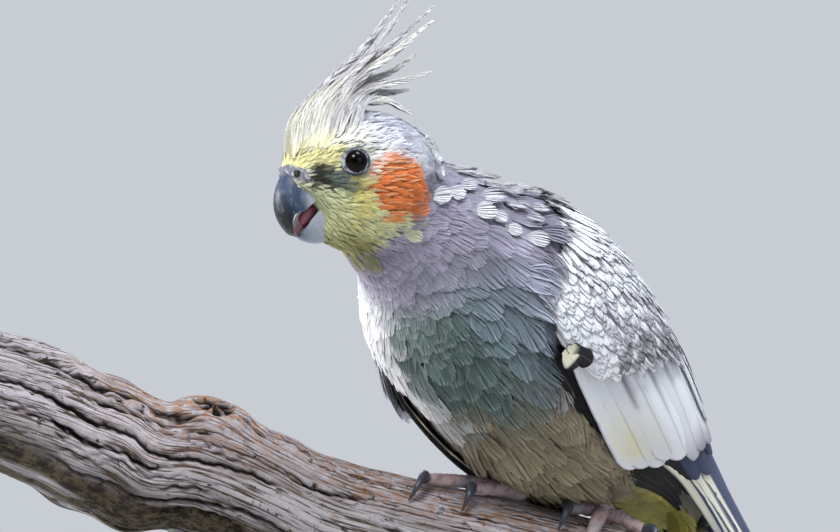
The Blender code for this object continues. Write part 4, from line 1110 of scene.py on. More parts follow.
def skin_samples(skin, count, seed):
    """Random points on the skin with their normals, in the bird's frame."""
    skin.data.calc_loop_triangles()
    corners = np.empty(len(skin.data.loop_triangles) * 3, np.int32)
    skin.data.loop_triangles.foreach_get("vertices", corners)
    corners = corners.reshape(-1, 3)
    co, normal = places(skin).astype(float), places(skin, "normal").astype(float)
    a, b, c = (co[corners[:, k]] for k in range(3))
    area = np.linalg.norm(np.cross(b - a, c - a), axis=1)
    dice = np.random.default_rng(seed)
    pick = dice.choice(len(corners), count, p=area / area.sum())
    u, v = dice.random(count), dice.random(count)
    over = u + v > 1.0
    u[over], v[over] = 1.0 - u[over], 1.0 - v[over]
    share = np.stack([1.0 - u - v, u, v], 1)
    points = (co[corners[pick]] * share[:, :, None]).sum(1)
    normals = unit((normal[corners[pick]] * share[:, :, None]).sum(1))
    return to_bird(points), normals @ BIRD_TURNED


def lie_turns(across, along, up):
    """The Euler turns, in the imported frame, that carry X, Y and Z to across, along and up."""
    across, along, up = (v @ BIRD_TURNED.T for v in (across, along, up))
    about_y = np.arcsin(np.clip(-across[:, 2], -1.0, 1.0))
    about_x = np.arctan2(along[:, 2], up[:, 2])
    about_z = np.arctan2(across[:, 1], across[:, 0])
    return np.stack([about_x, about_y, about_z], 1)


def from_eye(head):
    """The distance to the nearer eye, in the head's frame."""
    return np.minimum(*[np.linalg.norm(head - mirrored(EYE_AT, side), axis=1) for side in (1, -1)])


def bare_places(points):
    """True where no feathers grow: the eye, cere, bill and mouth."""
    head = into_head(points)
    cere = np.linalg.norm((head - np.array(CERE_AT)) / (4.0, 5.4, 3.4), axis=1)
    bill = (head[:, 0] > 10.0) & (head[:, 2] < 0.4 - 0.5 * np.maximum(head[:, 0] - 12.0, 0.0))
    bill &= np.abs(head[:, 1]) < 5.8
    jaw = (head[:, 0] > 10.4) & (head[:, 2] < -3.0) & (np.abs(head[:, 1]) < 5.4)
    return (from_eye(head) < 3.1) | (cere < 1.0) | bill | jaw


def under_wing(points):
    """True where the folded wing hides the body."""
    s, degrees = spine_place(points)
    side = np.where(degrees > 180.0, 360.0 - degrees, degrees)
    lowest = wing_low(s) - 9.0 + 6.0 * smooth((s - 60.0) / 8.0)
    inside = (s > 56.0) & (s < 118.0) & (side > 30.0) & (side < lowest)
    return inside & (into_head(points)[:, 0] < -20.0)


def rooted(obj, roots):
    """Stores where on the unwrap of the skin each vertex has its root."""
    give(obj, "root", np.concatenate([unwrap(roots), np.zeros((len(roots), 1))], 1))


def lay_coat(name, skin, templates, roots, normals, sizes, tint, rim, finish, lift):
    """Lays one feather on each root and returns the finished coat piece."""
    way = lie_direction(roots, normals)
    dice = np.random.default_rng(len(roots))
    angle = dice.normal(0.0, 0.18, len(roots))[:, None]
    aside = np.cross(way, normals)
    along = unit(way * np.cos(angle) + aside * np.sin(angle))
    across = unit(np.cross(along, normals))
    roots_mesh = bpy.data.meshes.new(name)
    roots_mesh.from_pydata(to_world(roots).tolist(), [], [])
    obj = linked(name, roots_mesh)
    give(obj, "lie", lie_turns(across, along, normals))
    give(obj, "size", sizes * MM)
    give(obj, "tint", tint, "FLOAT_COLOR")
    give(obj, "rim", rim, "FLOAT_COLOR")
    rooted(obj, roots)
    kind = obj.data.attributes.new("kind", "INT", "POINT")
    kind.data.foreach_set("value", dice.integers(0, len(templates.objects), len(roots)).astype(np.int32))
    modifier = obj.modifiers.new("coat", "NODES")
    modifier.node_group = bpy.data.node_groups.get("lay_feathers") or coat_tree()
    values = {"Skin": skin, "Feathers": templates, "Finish": finish, "Lift": lift * MM}
    for item in modifier.node_group.interface.items_tree:
        if item.name in values:
            modifier[item.identifier] = values[item.name]
    coat = plain_mesh(obj, name)
    baked_places(coat)
    coat.data.shade_smooth()
    return coat


def baked_places(coat):
    """Gives the coat the UV map in which each feather is a small patch at its root's place."""
    mesh = coat.data
    root, vane = np.empty((2, len(mesh.vertices) * 3), np.float32)
    mesh.attributes["root"].data.foreach_get("vector", root)
    mesh.attributes["vane"].data.foreach_get("vector", vane)
    root, vane = root.reshape(-1, 3), vane.reshape(-1, 3)
    place = root[:, :2] + np.stack([vane[:, 0] * 0.5, vane[:, 1]], 1) * 0.003
    loops = np.empty(len(mesh.loops), np.int32)
    mesh.loops.foreach_get("vertex_index", loops)
    made = mesh.uv_layers.get("OFBake") or mesh.uv_layers.new(name="OFBake")
    made.data.foreach_set("uv", place[loops].astype(np.float32).ravel())


def template_group(name, strips, steps, ragged, count, seed):
    """A collection of like feathers to lay, which is not in the scene."""
    group = bpy.data.collections.new(name)
    for k in range(count):
        obj = feather_template(f"{name}_{k}", strips, steps, ragged, seed + k)
        bpy.context.scene.collection.objects.unlink(obj)
        group.objects.link(obj)
    return group


def split_lay(name, skin, group, data, finish, lift, most):
    """Lays a coat in as many pieces as its limit of feathers for each needs."""
    order = np.argsort(data[0][:, 0])[::-1]
    parts = max(1, math.ceil(len(order) / most))
    pieces = [
        lay_coat(f"{name}_{k + 1}", skin, group, *(part[chosen] for part in data), finish, lift)
        for k, chosen in enumerate(np.array_split(order, parts))]
    for obj in list(group.objects):
        bpy.data.objects.remove(obj)
    bpy.data.collections.remove(group)
    return pieces


def head_coat(skin, settings, finish):
    """Short hair-like feathers over the face, crown and throat."""
    points, normals = skin_samples(skin, 110000, settings.seed)
    head = into_head(points)
    chosen = (head[:, 0] > -24.0) & (head[:, 2] > -31.0) & ~bare_places(points)
    points, normals, head = points[chosen], normals[chosen], head[chosen]
    front = smooth((head[:, 0] - 1.0) / 13.0)
    eye = from_eye(head)
    spacing = 0.98 - 0.36 * front - 0.2 * smooth((6.5 - eye) / 2.5)
    kept = spread(points, spacing, settings.seed)
    points, normals, head, front, eye = (a[kept] for a in (points, normals, head, front, eye))
    dice = np.random.default_rng(settings.seed + 1)
    length = settings.fine_length / MM * (1.0 - 0.52 * front)
    length *= 1.0 - 0.5 * smooth((6.5 - eye) / 2.8)
    length *= 1.0 + 0.3 * smooth((-6.0 - head[:, 0]) / 10.0)
    length *= dice.uniform(0.7, 1.3, len(points))
    tall = (0.44 - 0.20 * front) * (1.0 - 0.4 * smooth((6.0 - eye) / 2.0))
    hairline = smooth((head[:, 2] - 6.0) / 2.0) * smooth((12.0 - head[:, 2]) / 2.0) * smooth(head[:, 0] / 3.0)
    length *= 1.0 + 0.7 * hairline
    tall *= 1.0 + 1.6 * hairline
    sizes = np.stack([length * 0.28, length, tall * dice.uniform(0.75, 1.25, len(points))], 1)
    jitter = dice.normal(0.0, 0.45, (len(points), 3))
    tint = plumage(points + normals * 0.5 + jitter, settings)
    tint = tint * dice.normal(1.0, 0.04, len(points))[:, None]
    orange = tint[:, 0] > 2.6 * tint[:, 1]
    pale = orange & (dice.random(len(points)) < 0.36)
    tint[pale] = tint[pale] * 0.5 + np.array((1.0, 0.72, 0.45)) * 0.5
    sizes[pale] *= (0.35, 1.1, 1.25)
    rim = np.clip(tint * 1.10 + 0.01, 0.0, 1.0)
    group = template_group("hair_feather", strips=7, steps=3, ragged=0.42, count=5, seed=21)
    data = (points, normals, sizes, np.clip(tint, 0, 1), rim)
    return split_lay("coat_head", skin, group, data, finish, lift=0.05, most=5200)


def body_coat(skin, settings, finish):
    """Broad loose feathers over neck, breast, belly and back, with white pearls on the mantle."""
    points, normals = skin_samples(skin, 60000, settings.seed + 5)
    head = into_head(points)
    s, degrees = spine_place(points)
    side = either_side(degrees)
    chosen = (head[:, 0] < -9.0) | (head[:, 2] < -17.0)
    chosen &= ~under_wing(points) & ~bare_places(points)
    points, normals, s, side, head, degrees = (a[chosen] for a in (points, normals, s, side, head, degrees))
    grown = smooth((-11.0 - head[:, 0]) / 22.0)
    grown = np.maximum(grown, smooth((s - 22.0) / 26.0))
    spacing = 1.25 + 2.75 * grown
    kept = spread(points, spacing, settings.seed + 6)
    points, normals, s, side, head, grown, degrees = (
        a[kept] for a in (points, normals, s, side, head, grown, degrees))
    dice = np.random.default_rng(settings.seed + 7)
    length = settings.body_length / MM * (0.46 + 0.54 * grown) * dice.uniform(0.85, 1.15, len(points))
    tall = (0.85 + 0.75 * grown) * dice.uniform(0.8, 1.25, len(points))
    on_back = smooth((100.0 - side) / 20.0)
    tall *= 1.0 - 0.55 * on_back
    tall += 1.5 * smooth((s - 60.0) / 12.0) * smooth((side - 140.0) / 20.0) * smooth((112.0 - s) / 10.0)
    length *= 1.0 - 0.25 * on_back
    tall *= 1.0 - 0.6 * smooth((s - 92.0) / 12.0)
    length *= 1.0 - 0.2 * smooth((s - 92.0) / 12.0)
    # Feathers just ahead of the wing rise far enough to lie over its edge.
    tips = points + lie_direction(points, normals) * (length * 0.8)[:, None]
    cover = bed_depth(*spine_place(tips))
    beside = (bed_depth(s, degrees) < 2.2) & (cover > 0.4)
    tall[beside] = np.clip((cover + 0.9) / 1.1, tall, 3.4)[beside]
    length[beside] *= 0.78
    sizes = np.stack([length * 0.66, length, tall], 1)
    tint = plumage(points + normals + dice.normal(0.0, 0.8, (len(points), 3)), settings)
    # Painted light and shade: soft patches about 5 mm across, as on puffed feathers, brighten or darken the
    # tone.
    tint = tint * (dice.normal(1.0, 0.06, len(points)) * (1.0 + 0.13 * ripple(points, 5.0, 77)))[:, None]
    white = np.array(settings.white)
    rim = laid(tint, white, 0.12 - 0.07 * smooth((s - 56.0) / 14.0))
    mantle = np.flatnonzero((side < 84.0 - 0.7 * np.maximum(s - 24.0, 0.0)) & (s > 7.0) & (s < 64.0)
                            & (head[:, 0] < -15.0))
    pearls = mantle[spread(points[mantle], np.full(len(mantle), 4.6), settings.seed + 9)]
    tint[pearls] = white
    rim[pearls] = white
    sizes[pearls] = dice.uniform(0.8, 1.2, (len(pearls), 1)) * (4.0, 5.6, 1.7)
    group = template_group("contour_feather", strips=16, steps=3, ragged=0.06, count=5, seed=41)
    data = (points, normals, sizes, np.clip(tint, 0, 1), np.clip(rim, 0, 1))
    return split_lay("coat_body", skin, group, data, finish, lift=0.1, most=2000)


# Long feathers of the wings, tail and crest


def vane_profile(t, point):
    """A long feather's half width by share along it. Past the point it rounds to its tip."""
    root = 0.42 + 0.58 * smooth(t / 0.3)
    tip = np.sqrt(np.maximum(0.0, 1.0 - np.maximum(0.0, (t - point) / (1.0 - point)) ** 2))
    return np.maximum(root * tip, 0.06)


class Vanes:
    """Gathers long feathers as closed thin vanes and turns them into one object."""

    def __init__(self, name):
        self.name = name
        self.points, self.faces, self.vane, self.tint, self.rim = [], [], [], [], []
        self.count = 0

    def lay(self, top, bottom, share, along_mm, half, tint, rim):
        """Adds one feather from its top and bottom grids, with colours for each place on it."""
        rows, columns = top.shape[:2]
        edge = np.zeros((rows, columns), bool)
        edge[[0, -1]] = True
        edge[:, [0, -1]] = True
        upper = np.arange(rows * columns).reshape(rows, columns)
        lower = upper.copy()
        inside = ~edge
        lower[inside] = rows * columns + np.arange(inside.sum())
        quads = grid_faces(rows, columns)
        low_quads = lower.ravel()[quads][:, ::-1]
        across = np.broadcast_to(np.linspace(-1.0, 1.0, columns), (rows, columns))
        barb = along_mm[:, None] - np.abs(across) * half[:, None] * 0.9
        vane = np.stack([across, np.broadcast_to(share[:, None], across.shape), barb], -1)
        for store, grid in ((self.points, (top, bottom)), (self.vane, (vane, vane)),
                            (self.tint, (tint, tint)), (self.rim, (rim, rim))):
            store.append(grid[0].reshape(-1, 3))
            store.append(grid[1][inside])
        self.faces.append(quads + self.count)
        self.faces.append(low_quads + self.count)
        self.count += rows * columns + int(inside.sum())

    def finish(self):
        obj = mesh_object(self.name, np.concatenate(self.points), np.concatenate(self.faces))
        give(obj, "vane", np.concatenate(self.vane))
        for name, colours in (("tint", self.tint), ("rim", self.rim)):
            give(obj, name, np.clip(np.concatenate(colours), 0, 1), "FLOAT_COLOR")
        return obj


def distances(line):
    """How far along a line of points each one lies."""
    return np.concatenate([[0.0], np.cumsum(np.linalg.norm(np.diff(line, axis=0), axis=1))])


def ragged_edge(rows, dice, amount):
    """A vane's outline, notched here and there where its barbs have parted."""
    edge = np.ones(rows) + dice.normal(0.0, amount * 0.25, rows)
    for _ in range(2):
        if dice.random() < 0.5:
            edge[dice.integers(rows // 3, rows - 2)] -= amount * dice.uniform(0.5, 1.5)
    return np.clip(edge, 0.6, 1.05)


def wing_hang(s, degrees, side):
    """How far a place on the wing hangs from the body: the right wing's lower rear edge droops."""
    return smooth((degrees - 70.0) / 45.0) * smooth((s - 43.0) / 20.0) * (side < 0)


def wing_surface(s, degrees, lift, side):
    """A place on the folded wing, lifted from the body's outer shape."""
    hang = wing_hang(s, degrees, side)
    point = lifted_point(s, degrees + DROOP * hang, lift + LOOSE * hang)
    point[..., 1] *= side
    return point


def wing_feather(vanes, tier, lane, beside, width, lifts, step, side, colours, dice):
    """One feather of a folded wing, bent to the body's outer shape, its upper edge tucked under."""
    long_one = tier in LONG_TIERS
    rows, columns = (30, 11) if long_one else (12, 7)
    t = 1.0 - (1.0 - np.linspace(0.0, 1.0, rows)) ** 1.3
    s = lane[0][0] + (lane[1][0] - lane[0][0]) * t
    degrees = lane[0][1] + (lane[1][1] - lane[0][1]) * t
    along, around = outer_slopes(s, degrees)
    course = unit(along * (lane[1][0] - lane[0][0]) + around * (lane[1][1] - lane[0][1]))
    normal = unit(np.cross(around, along))
    across = np.cross(normal, course)
    aa, ab, bb = dot(along, along), dot(along, around), dot(around, around)
    pa, pb = dot(across, along), dot(across, around)
    spread_out = aa * bb - ab * ab
    ds, dd = (pa * bb - pb * ab) / spread_out, (pb * aa - pa * ab) / spread_out
    flip = np.where(dd > 0.0, -1.0, 1.0)
    ds, dd = ds * flip, dd * flip
    other = outer_point(beside[0][0] + (beside[1][0] - beside[0][0]) * t,
                        beside[0][1] + (beside[1][1] - beside[0][1]) * t)
    space = np.maximum(np.abs(dot(other - outer_point(s, degrees), across)), 1.6)
    half = np.minimum(width / 2.0, space * 1.15) * vane_profile(t, NARROWS_AT.get(tier, 0.62))
    half = half * ragged_edge(rows, dice, 0.03 if long_one else 0.10)
    lift = lifts[0] + (lifts[1] - lifts[0]) * t**1.2
    share = np.linspace(-1.0, 1.0, columns)
    reach = half[:, None] * share
    tilt = np.minimum(step / space, 0.16)[:, None]
    camber = 0.25 * (1.0 - share**2) * half[:, None] / 4.0
    height = lift[:, None] - tilt * reach + camber + 0.02 * dice.normal(size=(rows, 1))
    grid_s, grid_turn = s[:, None] + ds[:, None] * reach, degrees[:, None] + dd[:, None] * reach
    top = wing_surface(grid_s, grid_turn, height, side)
    bottom = wing_surface(grid_s, grid_turn, height - 0.14 * (1.0 - share**4), side)
    vanes.lay(top, bottom, t, distances(top[:, columns // 2]), half, *colours(t, share))


BAR_DARK, BAR_PALE = ink("3B2F2A"), ink("B3A68A")


def wing_colours(tier, share_up, back, side, settings, dice):
    """The colours of one wing feather, by its share up its tier and, in the coverts, back from the edge."""
    white, pearl, flight, quill, straw = inks(settings, "white", "pearl", "flight", "quill", "straw")
    fresh = dice.normal(1.0, 0.03)
    kind = dice.random()
    edge = dice.uniform(0.86, 1.02) - 0.20 * back**2
    tip_at = dice.uniform(0.92, 1.05) - 0.20 * back**2 * dice.random()
    lean = dice.normal(0.0, 0.25)

    def primary(plain, along, signed):
        tint = plain * (quill * (0.80 + 0.25 * share_up))
        if share_up >= 0.58:
            return tint, tint * 1.25
        pale = smooth((0.45 - signed) / 0.25) * smooth((signed + 0.86) / 0.1) * smooth((along - 0.42) / 0.15)
        rim = laid_on(tint * 1.25, white * 0.9, pale * 0.5)
        return laid_on(tint, straw * 0.6 + white * 0.4, pale * 0.97), rim

    def secondary(plain, along, signed):
        tint = plain * (flight if share_up < 0.70 else quill * 0.75)
        if side < 0 and share_up < 0.2:
            bars = smooth((np.sin(along * 44.0 + np.abs(signed) * 1.5) - 0.35) / 0.4)
            tint = laid_on(plain * BAR_DARK, BAR_PALE, bars * 0.75)
        return tint, tint * 1.15

    def greater(plain, along, signed):
        warm = smooth((0.66 - share_up) / 0.5) * smooth((along - 0.40) / 0.5) * (0.45 + 0.3 * kind)
        warm = warm * smooth((1.15 - np.abs(signed - 0.5 * lean)) / 0.9)
        tint = laid_on(plain * white, straw * (1.0, 0.97, 0.78), warm)
        mark = smooth((share_up - 0.30) / 0.1) * smooth((0.34 - 0.3 * along - np.abs(signed - lean)) / 0.2)
        mark = mark * smooth((0.56 + 0.2 * kind - along) / 0.08) * 0.95
        mark = mark * (1.0 if dice.random() < 0.75 else 0.1)
        rim = laid_on(plain * white, pearl * 1.5, smooth((share_up - 0.6) / 0.2) * 0.8)
        return laid_on(tint, pearl, mark), rim

    def alula(plain, along, signed):
        dark = smooth((along - (-0.2 if side < 0 else 0.26 if share_up > 0.4 else 0.62)) / 0.12)
        return laid_on(plain * (straw * 0.5 + white * 0.22), flight * 1.5, dark), plain * (flight * 1.4)

    def back_feather(plain, along, signed):
        across = np.abs(signed)
        tint = plain * (white * (0.97 if kind < 0.8 else 0.75))
        streak = smooth((0.16 - across) / 0.1) * smooth((0.75 - along) / 0.2) * (0.9 if kind > 0.5 else 0.0)
        tint = laid_on(tint, pearl * 1.2, streak)
        tint = laid_on(tint, pearl * 1.15, smooth((across - 0.74) / 0.12) * 0.6)
        return tint, plain * (pearl * 0.7 + white * 0.35)

    def covert(plain, along, signed):
        last = tier == "covert_last"
        pale = smooth((0.37 - 0.10 * back + 0.06 * lean - share_up) / 0.06)
        dark = pearl * (1.05 - 0.65 * back + 0.4 * dice.random())
        centre = smooth((edge - np.abs(signed - lean * 0.6)) / 0.16) * smooth((tip_at - along) / 0.10)
        if kind < 0.07:
            centre = centre * 0.15
        if kind > 0.80:
            centre = np.maximum(centre, smooth((0.95 - along) / 0.06))
        if last:
            tip = smooth((along - 0.35 - 0.2 * kind) / 0.1) * smooth((0.62 - np.abs(signed)) / 0.25)
            centre = np.maximum(centre, 0.9) * (1.0 - tip)
            pale = smooth((0.26 - share_up) / 0.06)
        streak = smooth((0.12 - np.abs(signed - 0.1)) / 0.08) * smooth((along - 0.4) / 0.2) * (kind > 0.45)
        dark = dark + (white - dark) * 0.45 * (1.0 - back) * (kind > 0.3)
        tint = laid_on(plain * dark, white, centre * (1.0 - 0.8 * streak))
        outline = dark + (white * 0.85 - dark) * np.clip(1.15 - back + 0.3 * lean, 0.1, 0.92)
        rim = laid_on(plain * outline, white * 0.88, np.maximum(pale, 0.7 * last))
        return laid_on(tint, white, pale), rim

    marked = {"primary": primary, "secondary": secondary, "greater": greater, "alula": alula,
              "tertial": back_feather, "scapular_row": back_feather, "scapular_last": back_feather}

    def grids(t, share):
        along, signed = np.broadcast_arrays(t[:, None, None], share[None, :, None])
        tint, rim = marked.get(tier, covert)(np.ones((len(t), len(share), 3)), along, signed)
        return tint * fresh, rim * fresh

    return grids


def between(rows, share):
    """A place on the curve through a tier's low, middle and high places."""
    low, middle, high = (np.array(row, float) for row in rows)
    control = middle * 2.0 - (low + high) * 0.5
    return low * (1.0 - share) ** 2 + control * 2.0 * share * (1.0 - share) + high * share**2


def lanes_of(tiers, dice):
    """Every feather of a folded wing as its tier, height in the tier, lane, neighbour and sizes."""
    for tier, count, roots, tips, width, lifts, step in tiers:
        shares = np.linspace(0.0, 1.0, count)
        lanes = [(between(roots, u), between(tips, u)) for u in shares]
        for i, share_up in enumerate(shares):
            beside = lanes[i + 1] if i + 1 < count else lanes[i - 1]
            shift = np.array((dice.normal(0.0, 1.0), 0.0))
            yield tier, share_up, 0.0, (lanes[i][0], lanes[i][1] + shift), beside, width, lifts, step


def covert_lanes(rows, corners, counts, widths, name, dice):
    """Rows of small feathers that overlap like bricks from the wing's front edge backwards."""
    front_roots, front_tips, back_roots, back_tips = (np.array(corner, float) for corner in corners)
    for k in range(rows - 1, -1, -1):
        a = k / (rows - 1.0)
        count = round(counts[0] + (counts[1] - counts[0]) * a)
        width = widths[0] + (widths[1] - widths[0]) * a
        roots = front_roots + (back_roots - front_roots) * a
        tips = front_tips + (back_tips - front_tips) * a
        shares = (np.arange(count) + (0.25 if k % 2 else 0.75)) / count
        for share_up in shares:
            jitter = dice.normal(0.0, 1.0, 4) * (0.7, 1.6, 1.1, 1.8)
            lane = (between(roots, share_up) + jitter[:2], between(tips, share_up) + jitter[2:])
            beside = (between(roots, share_up + 1.0 / count), between(tips, share_up + 1.0 / count))
            row = f"{name}_{'last' if k == rows - 1 else 'row'}"
            yield row, share_up, a, lane, beside, width, (-1.9, 0.1), 0.13


def make_wing(name, side, settings):
    """A folded wing of overlapping flight feathers and coverts, from the innermost tier out."""
    vanes = Vanes(name)
    dice = np.random.default_rng(settings.seed + (3 if side > 0 else 4))
    for tier, share_up, back, lane, beside, width, lifts, step in (
        *lanes_of(TIERS, dice),
        *covert_lanes(COVERT_ROWS, COVERTS, (28, 20), (2.9, 5.6), "covert", dice),
        *covert_lanes(4, SCAPULARS, (5, 5), (7.0, 9.5), "scapular", dice),
        *lanes_of(((*ALULA, ALULA_LIFTS[side], 0.3),), dice),
    ):
        colours = wing_colours(tier, share_up, back, side, settings, dice)
        wing_feather(vanes, tier, lane, beside, width, lifts, step, side, colours, dice)
    return vanes.finish()


def wing_bed(name, side, settings):
    """The small downy bed that the wing's feathers stand in, which closes gaps between them. Its grey is
    darkened as painted shade in those gaps.
    """
    rows, columns = 24, 24
    t, u = np.meshgrid(np.linspace(0.0, 1.0, rows), np.linspace(0.0, 1.0, columns), indexing="ij")
    s = 54.0 + 46.0 * t
    degrees = 20.0 + (wing_low(s) - 24.0) * u
    hang = wing_hang(s, degrees, side)
    floor = 0.6 - bed_depth(s, degrees + DROOP * hang) - LOOSE * hang
    rim = np.minimum(1.0, 6.0 * np.minimum(t, 1.0 - t)) * np.minimum(1.0, 6.0 * np.minimum(u, 1.0 - u))
    roof = np.maximum(-3.6 - floor, 0.5) * (0.1 + 0.9 * smooth(rim))
    upper = wing_surface(s, degrees, floor + roof, side).reshape(-1, 3)
    lower = wing_surface(s, degrees, floor, side).reshape(-1, 3)
    quads = grid_faces(rows, columns)
    edge = [*range(columns)] + [i * columns + columns - 1 for i in range(1, rows)]
    edge += [(rows - 1) * columns + j for j in range(columns - 2, -1, -1)]
    edge += [i * columns for i in range(rows - 2, 0, -1)]
    edge = np.array(edge)
    after = np.roll(edge, -1)
    shift = rows * columns
    walls = np.stack([edge, after, after + shift, edge + shift], 1)
    faces = np.concatenate([quads, quads + shift, walls])
    obj = outward(mesh_object(name, np.concatenate([upper, lower]), faces))
    # Painted shade: a darkened grey that shows in the gaps between the wing's feathers.
    return tinted(obj, np.tile(np.array(settings.pearl) * 0.7, (len(obj.data.vertices), 1)))


def straight_feather(vanes, frames, thick, colours, dice, camber=0.05, columns=9, ragged=0.08):
    """One feather from arrays of middle, across, face direction and half width."""
    middle, across, face, half = frames
    rows = len(middle)
    half = half * ragged_edge(rows, dice, ragged)
    share = np.linspace(-1.0, 1.0, columns)
    reach = half[:, None] * share
    arch = camber * half[:, None] * (1.0 - share**2) * 2.0
    top = middle[:, None] + across[:, None] * reach[..., None] + face[:, None] * arch[..., None]
    bottom = top - face[:, None] * (thick * (1.0 - share**4))[None, :, None]
    length = distances(middle)
    t = length / length[-1]
    vanes.lay(top, bottom, t, length, half, *colours(t, share))


def make_tail(settings):
    """The tail's twelve feathers, the long middle pair on top."""
    vanes = Vanes("tail_feathers")
    dice = np.random.default_rng(settings.seed + 8)
    slope = math.radians(TAIL_SLOPE)
    along = np.array([-math.cos(slope), 0.0, -math.sin(slope)])
    up = np.array([-math.sin(slope), 0.0, math.cos(slope)])
    start = np.array([TAIL_ROOT[0], 0.0, TAIL_ROOT[1]])
    quill, straw = inks(settings, "quill", "straw")

    def colours(rank):
        def grids(t, share):
            tint = np.ones((len(t), len(share), 3)) * (quill * 1.05)
            if rank > 1:
                bars = 0.5 + 0.5 * np.sin(t[:, None, None] * 85.0 + np.abs(share)[None, :, None] * 2.5)
                tint[:] = straw * 0.9 + (quill * 0.75 - straw * 0.9) * smooth(bars * 1.5 - 0.25) * 0.65
            return tint, tint * 1.12

        return grids

    rows = 40
    for i in range(len(TAIL_LENGTHS) - 1, -1, -1):
        for side in (1, -1):
            level = 1.2 - 0.86 * i + (0.86 if i == 0 and side > 0 else 0.0)
            width = 9.6 if i else 11.0
            aside = side * (0.45 + width / 2.0 + 0.8 * (i - 1)) if i else side * 2.2
            splay = math.radians(0.55 * i * side)
            course = along * math.cos(splay) + np.array([0.0, math.sin(splay), 0.0])
            across = unit(np.cross(up, course))
            t = 1.0 - (1.0 - np.linspace(0.0, 1.0, rows)) ** 1.3
            reach = 8.0 + (TAIL_LENGTHS[i] - 8.0) * t
            middle = start + course * reach[:, None] + up * level + np.array([0.0, aside, 0.0])
            half = width / 2.0 * vane_profile(t, 0.68 if i else 0.3)
            frames = (middle, np.tile(across, (rows, 1)), np.tile(up, (rows, 1)), half)
            straight_feather(vanes, frames, 0.3, colours(i), dice, 0.03, 11)
    return vanes.finish()


crest_row = curve_through([(i, *row) for i, row in enumerate(CREST)])


def crest_path(place, share):
    """Points of the crest's plume or hair at each place, front to rear, and each share of its length."""
    row = crest_row(place)
    ahead, up = row[..., 0:10:2], row[..., 1:10:2]
    knots = np.linspace(0.0, 1.0, 5)
    weights = curve_through(np.concatenate([knots[:, None], np.eye(5)], 1))(share)
    x, z = (weights * ahead[..., None, :]).sum(-1), (weights * up[..., None, :]).sum(-1)
    return np.stack([x, row[..., 10:11] * 1.3 * share, z], -1)


def hair_mesh(name, centres, across, half, tint, dice):
    """Flat tapering hairs from arrays of hairs by steps, in the head's frame."""
    count, steps = half.shape
    edges = np.stack([centres - across * half[..., None], centres + across * half[..., None]], 2)
    first = np.arange(count)[:, None] * steps * 2 + np.arange(steps - 1)[None] * 2
    faces = np.stack([first, first + 1, first + 3, first + 2], -1).reshape(-1, 4)
    obj = mesh_object(name, from_head(edges.reshape(-1, 3)), faces)
    lean = np.stack([np.full((count, steps), 0.1), np.tanh(centres[..., 1] * 0.6) * 0.35 + 0.32,
                     np.full((count, steps), 0.72)], -1)
    give(obj, "soft", np.repeat(unit(lean) @ HEAD_TURNED.T @ BIRD_TURNED.T, 2, axis=1).reshape(-1, 3))
    share = np.broadcast_to(np.linspace(0.0, 1.0, steps)[None, :, None], (count, steps, 2))
    side = np.broadcast_to(np.array([-1.0, 1.0]), (count, steps, 2))
    strand = np.broadcast_to(dice.uniform(0.0, 9.0, count)[:, None, None], (count, steps, 2))
    give(obj, "vane", np.stack([side * 0.3, share * 0.7, strand], -1).reshape(-1, 3))
    tint = np.clip(np.repeat(tint, 2, axis=1).reshape(-1, 3), 0, 1)
    give(obj, "tint", tint, "FLOAT_COLOR")
    give(obj, "rim", tint, "FLOAT_COLOR")
    roots = np.repeat(from_head(centres[:, 0]), steps * 2, axis=0)
    rooted(obj, roots)
    baked_places(obj)
    return obj


def face_across(along, dice, spread_turn):
    """Across-ways for hairs along these ways that mostly face sideways, each a little twisted."""
    side = np.array([0.0, 1.0, 0.0])
    rear = unit(np.cross(along, side))
    turn = dice.normal(0.35, spread_turn, len(along))[:, None, None]
    return unit(rear * np.cos(turn) + side * np.sin(turn))


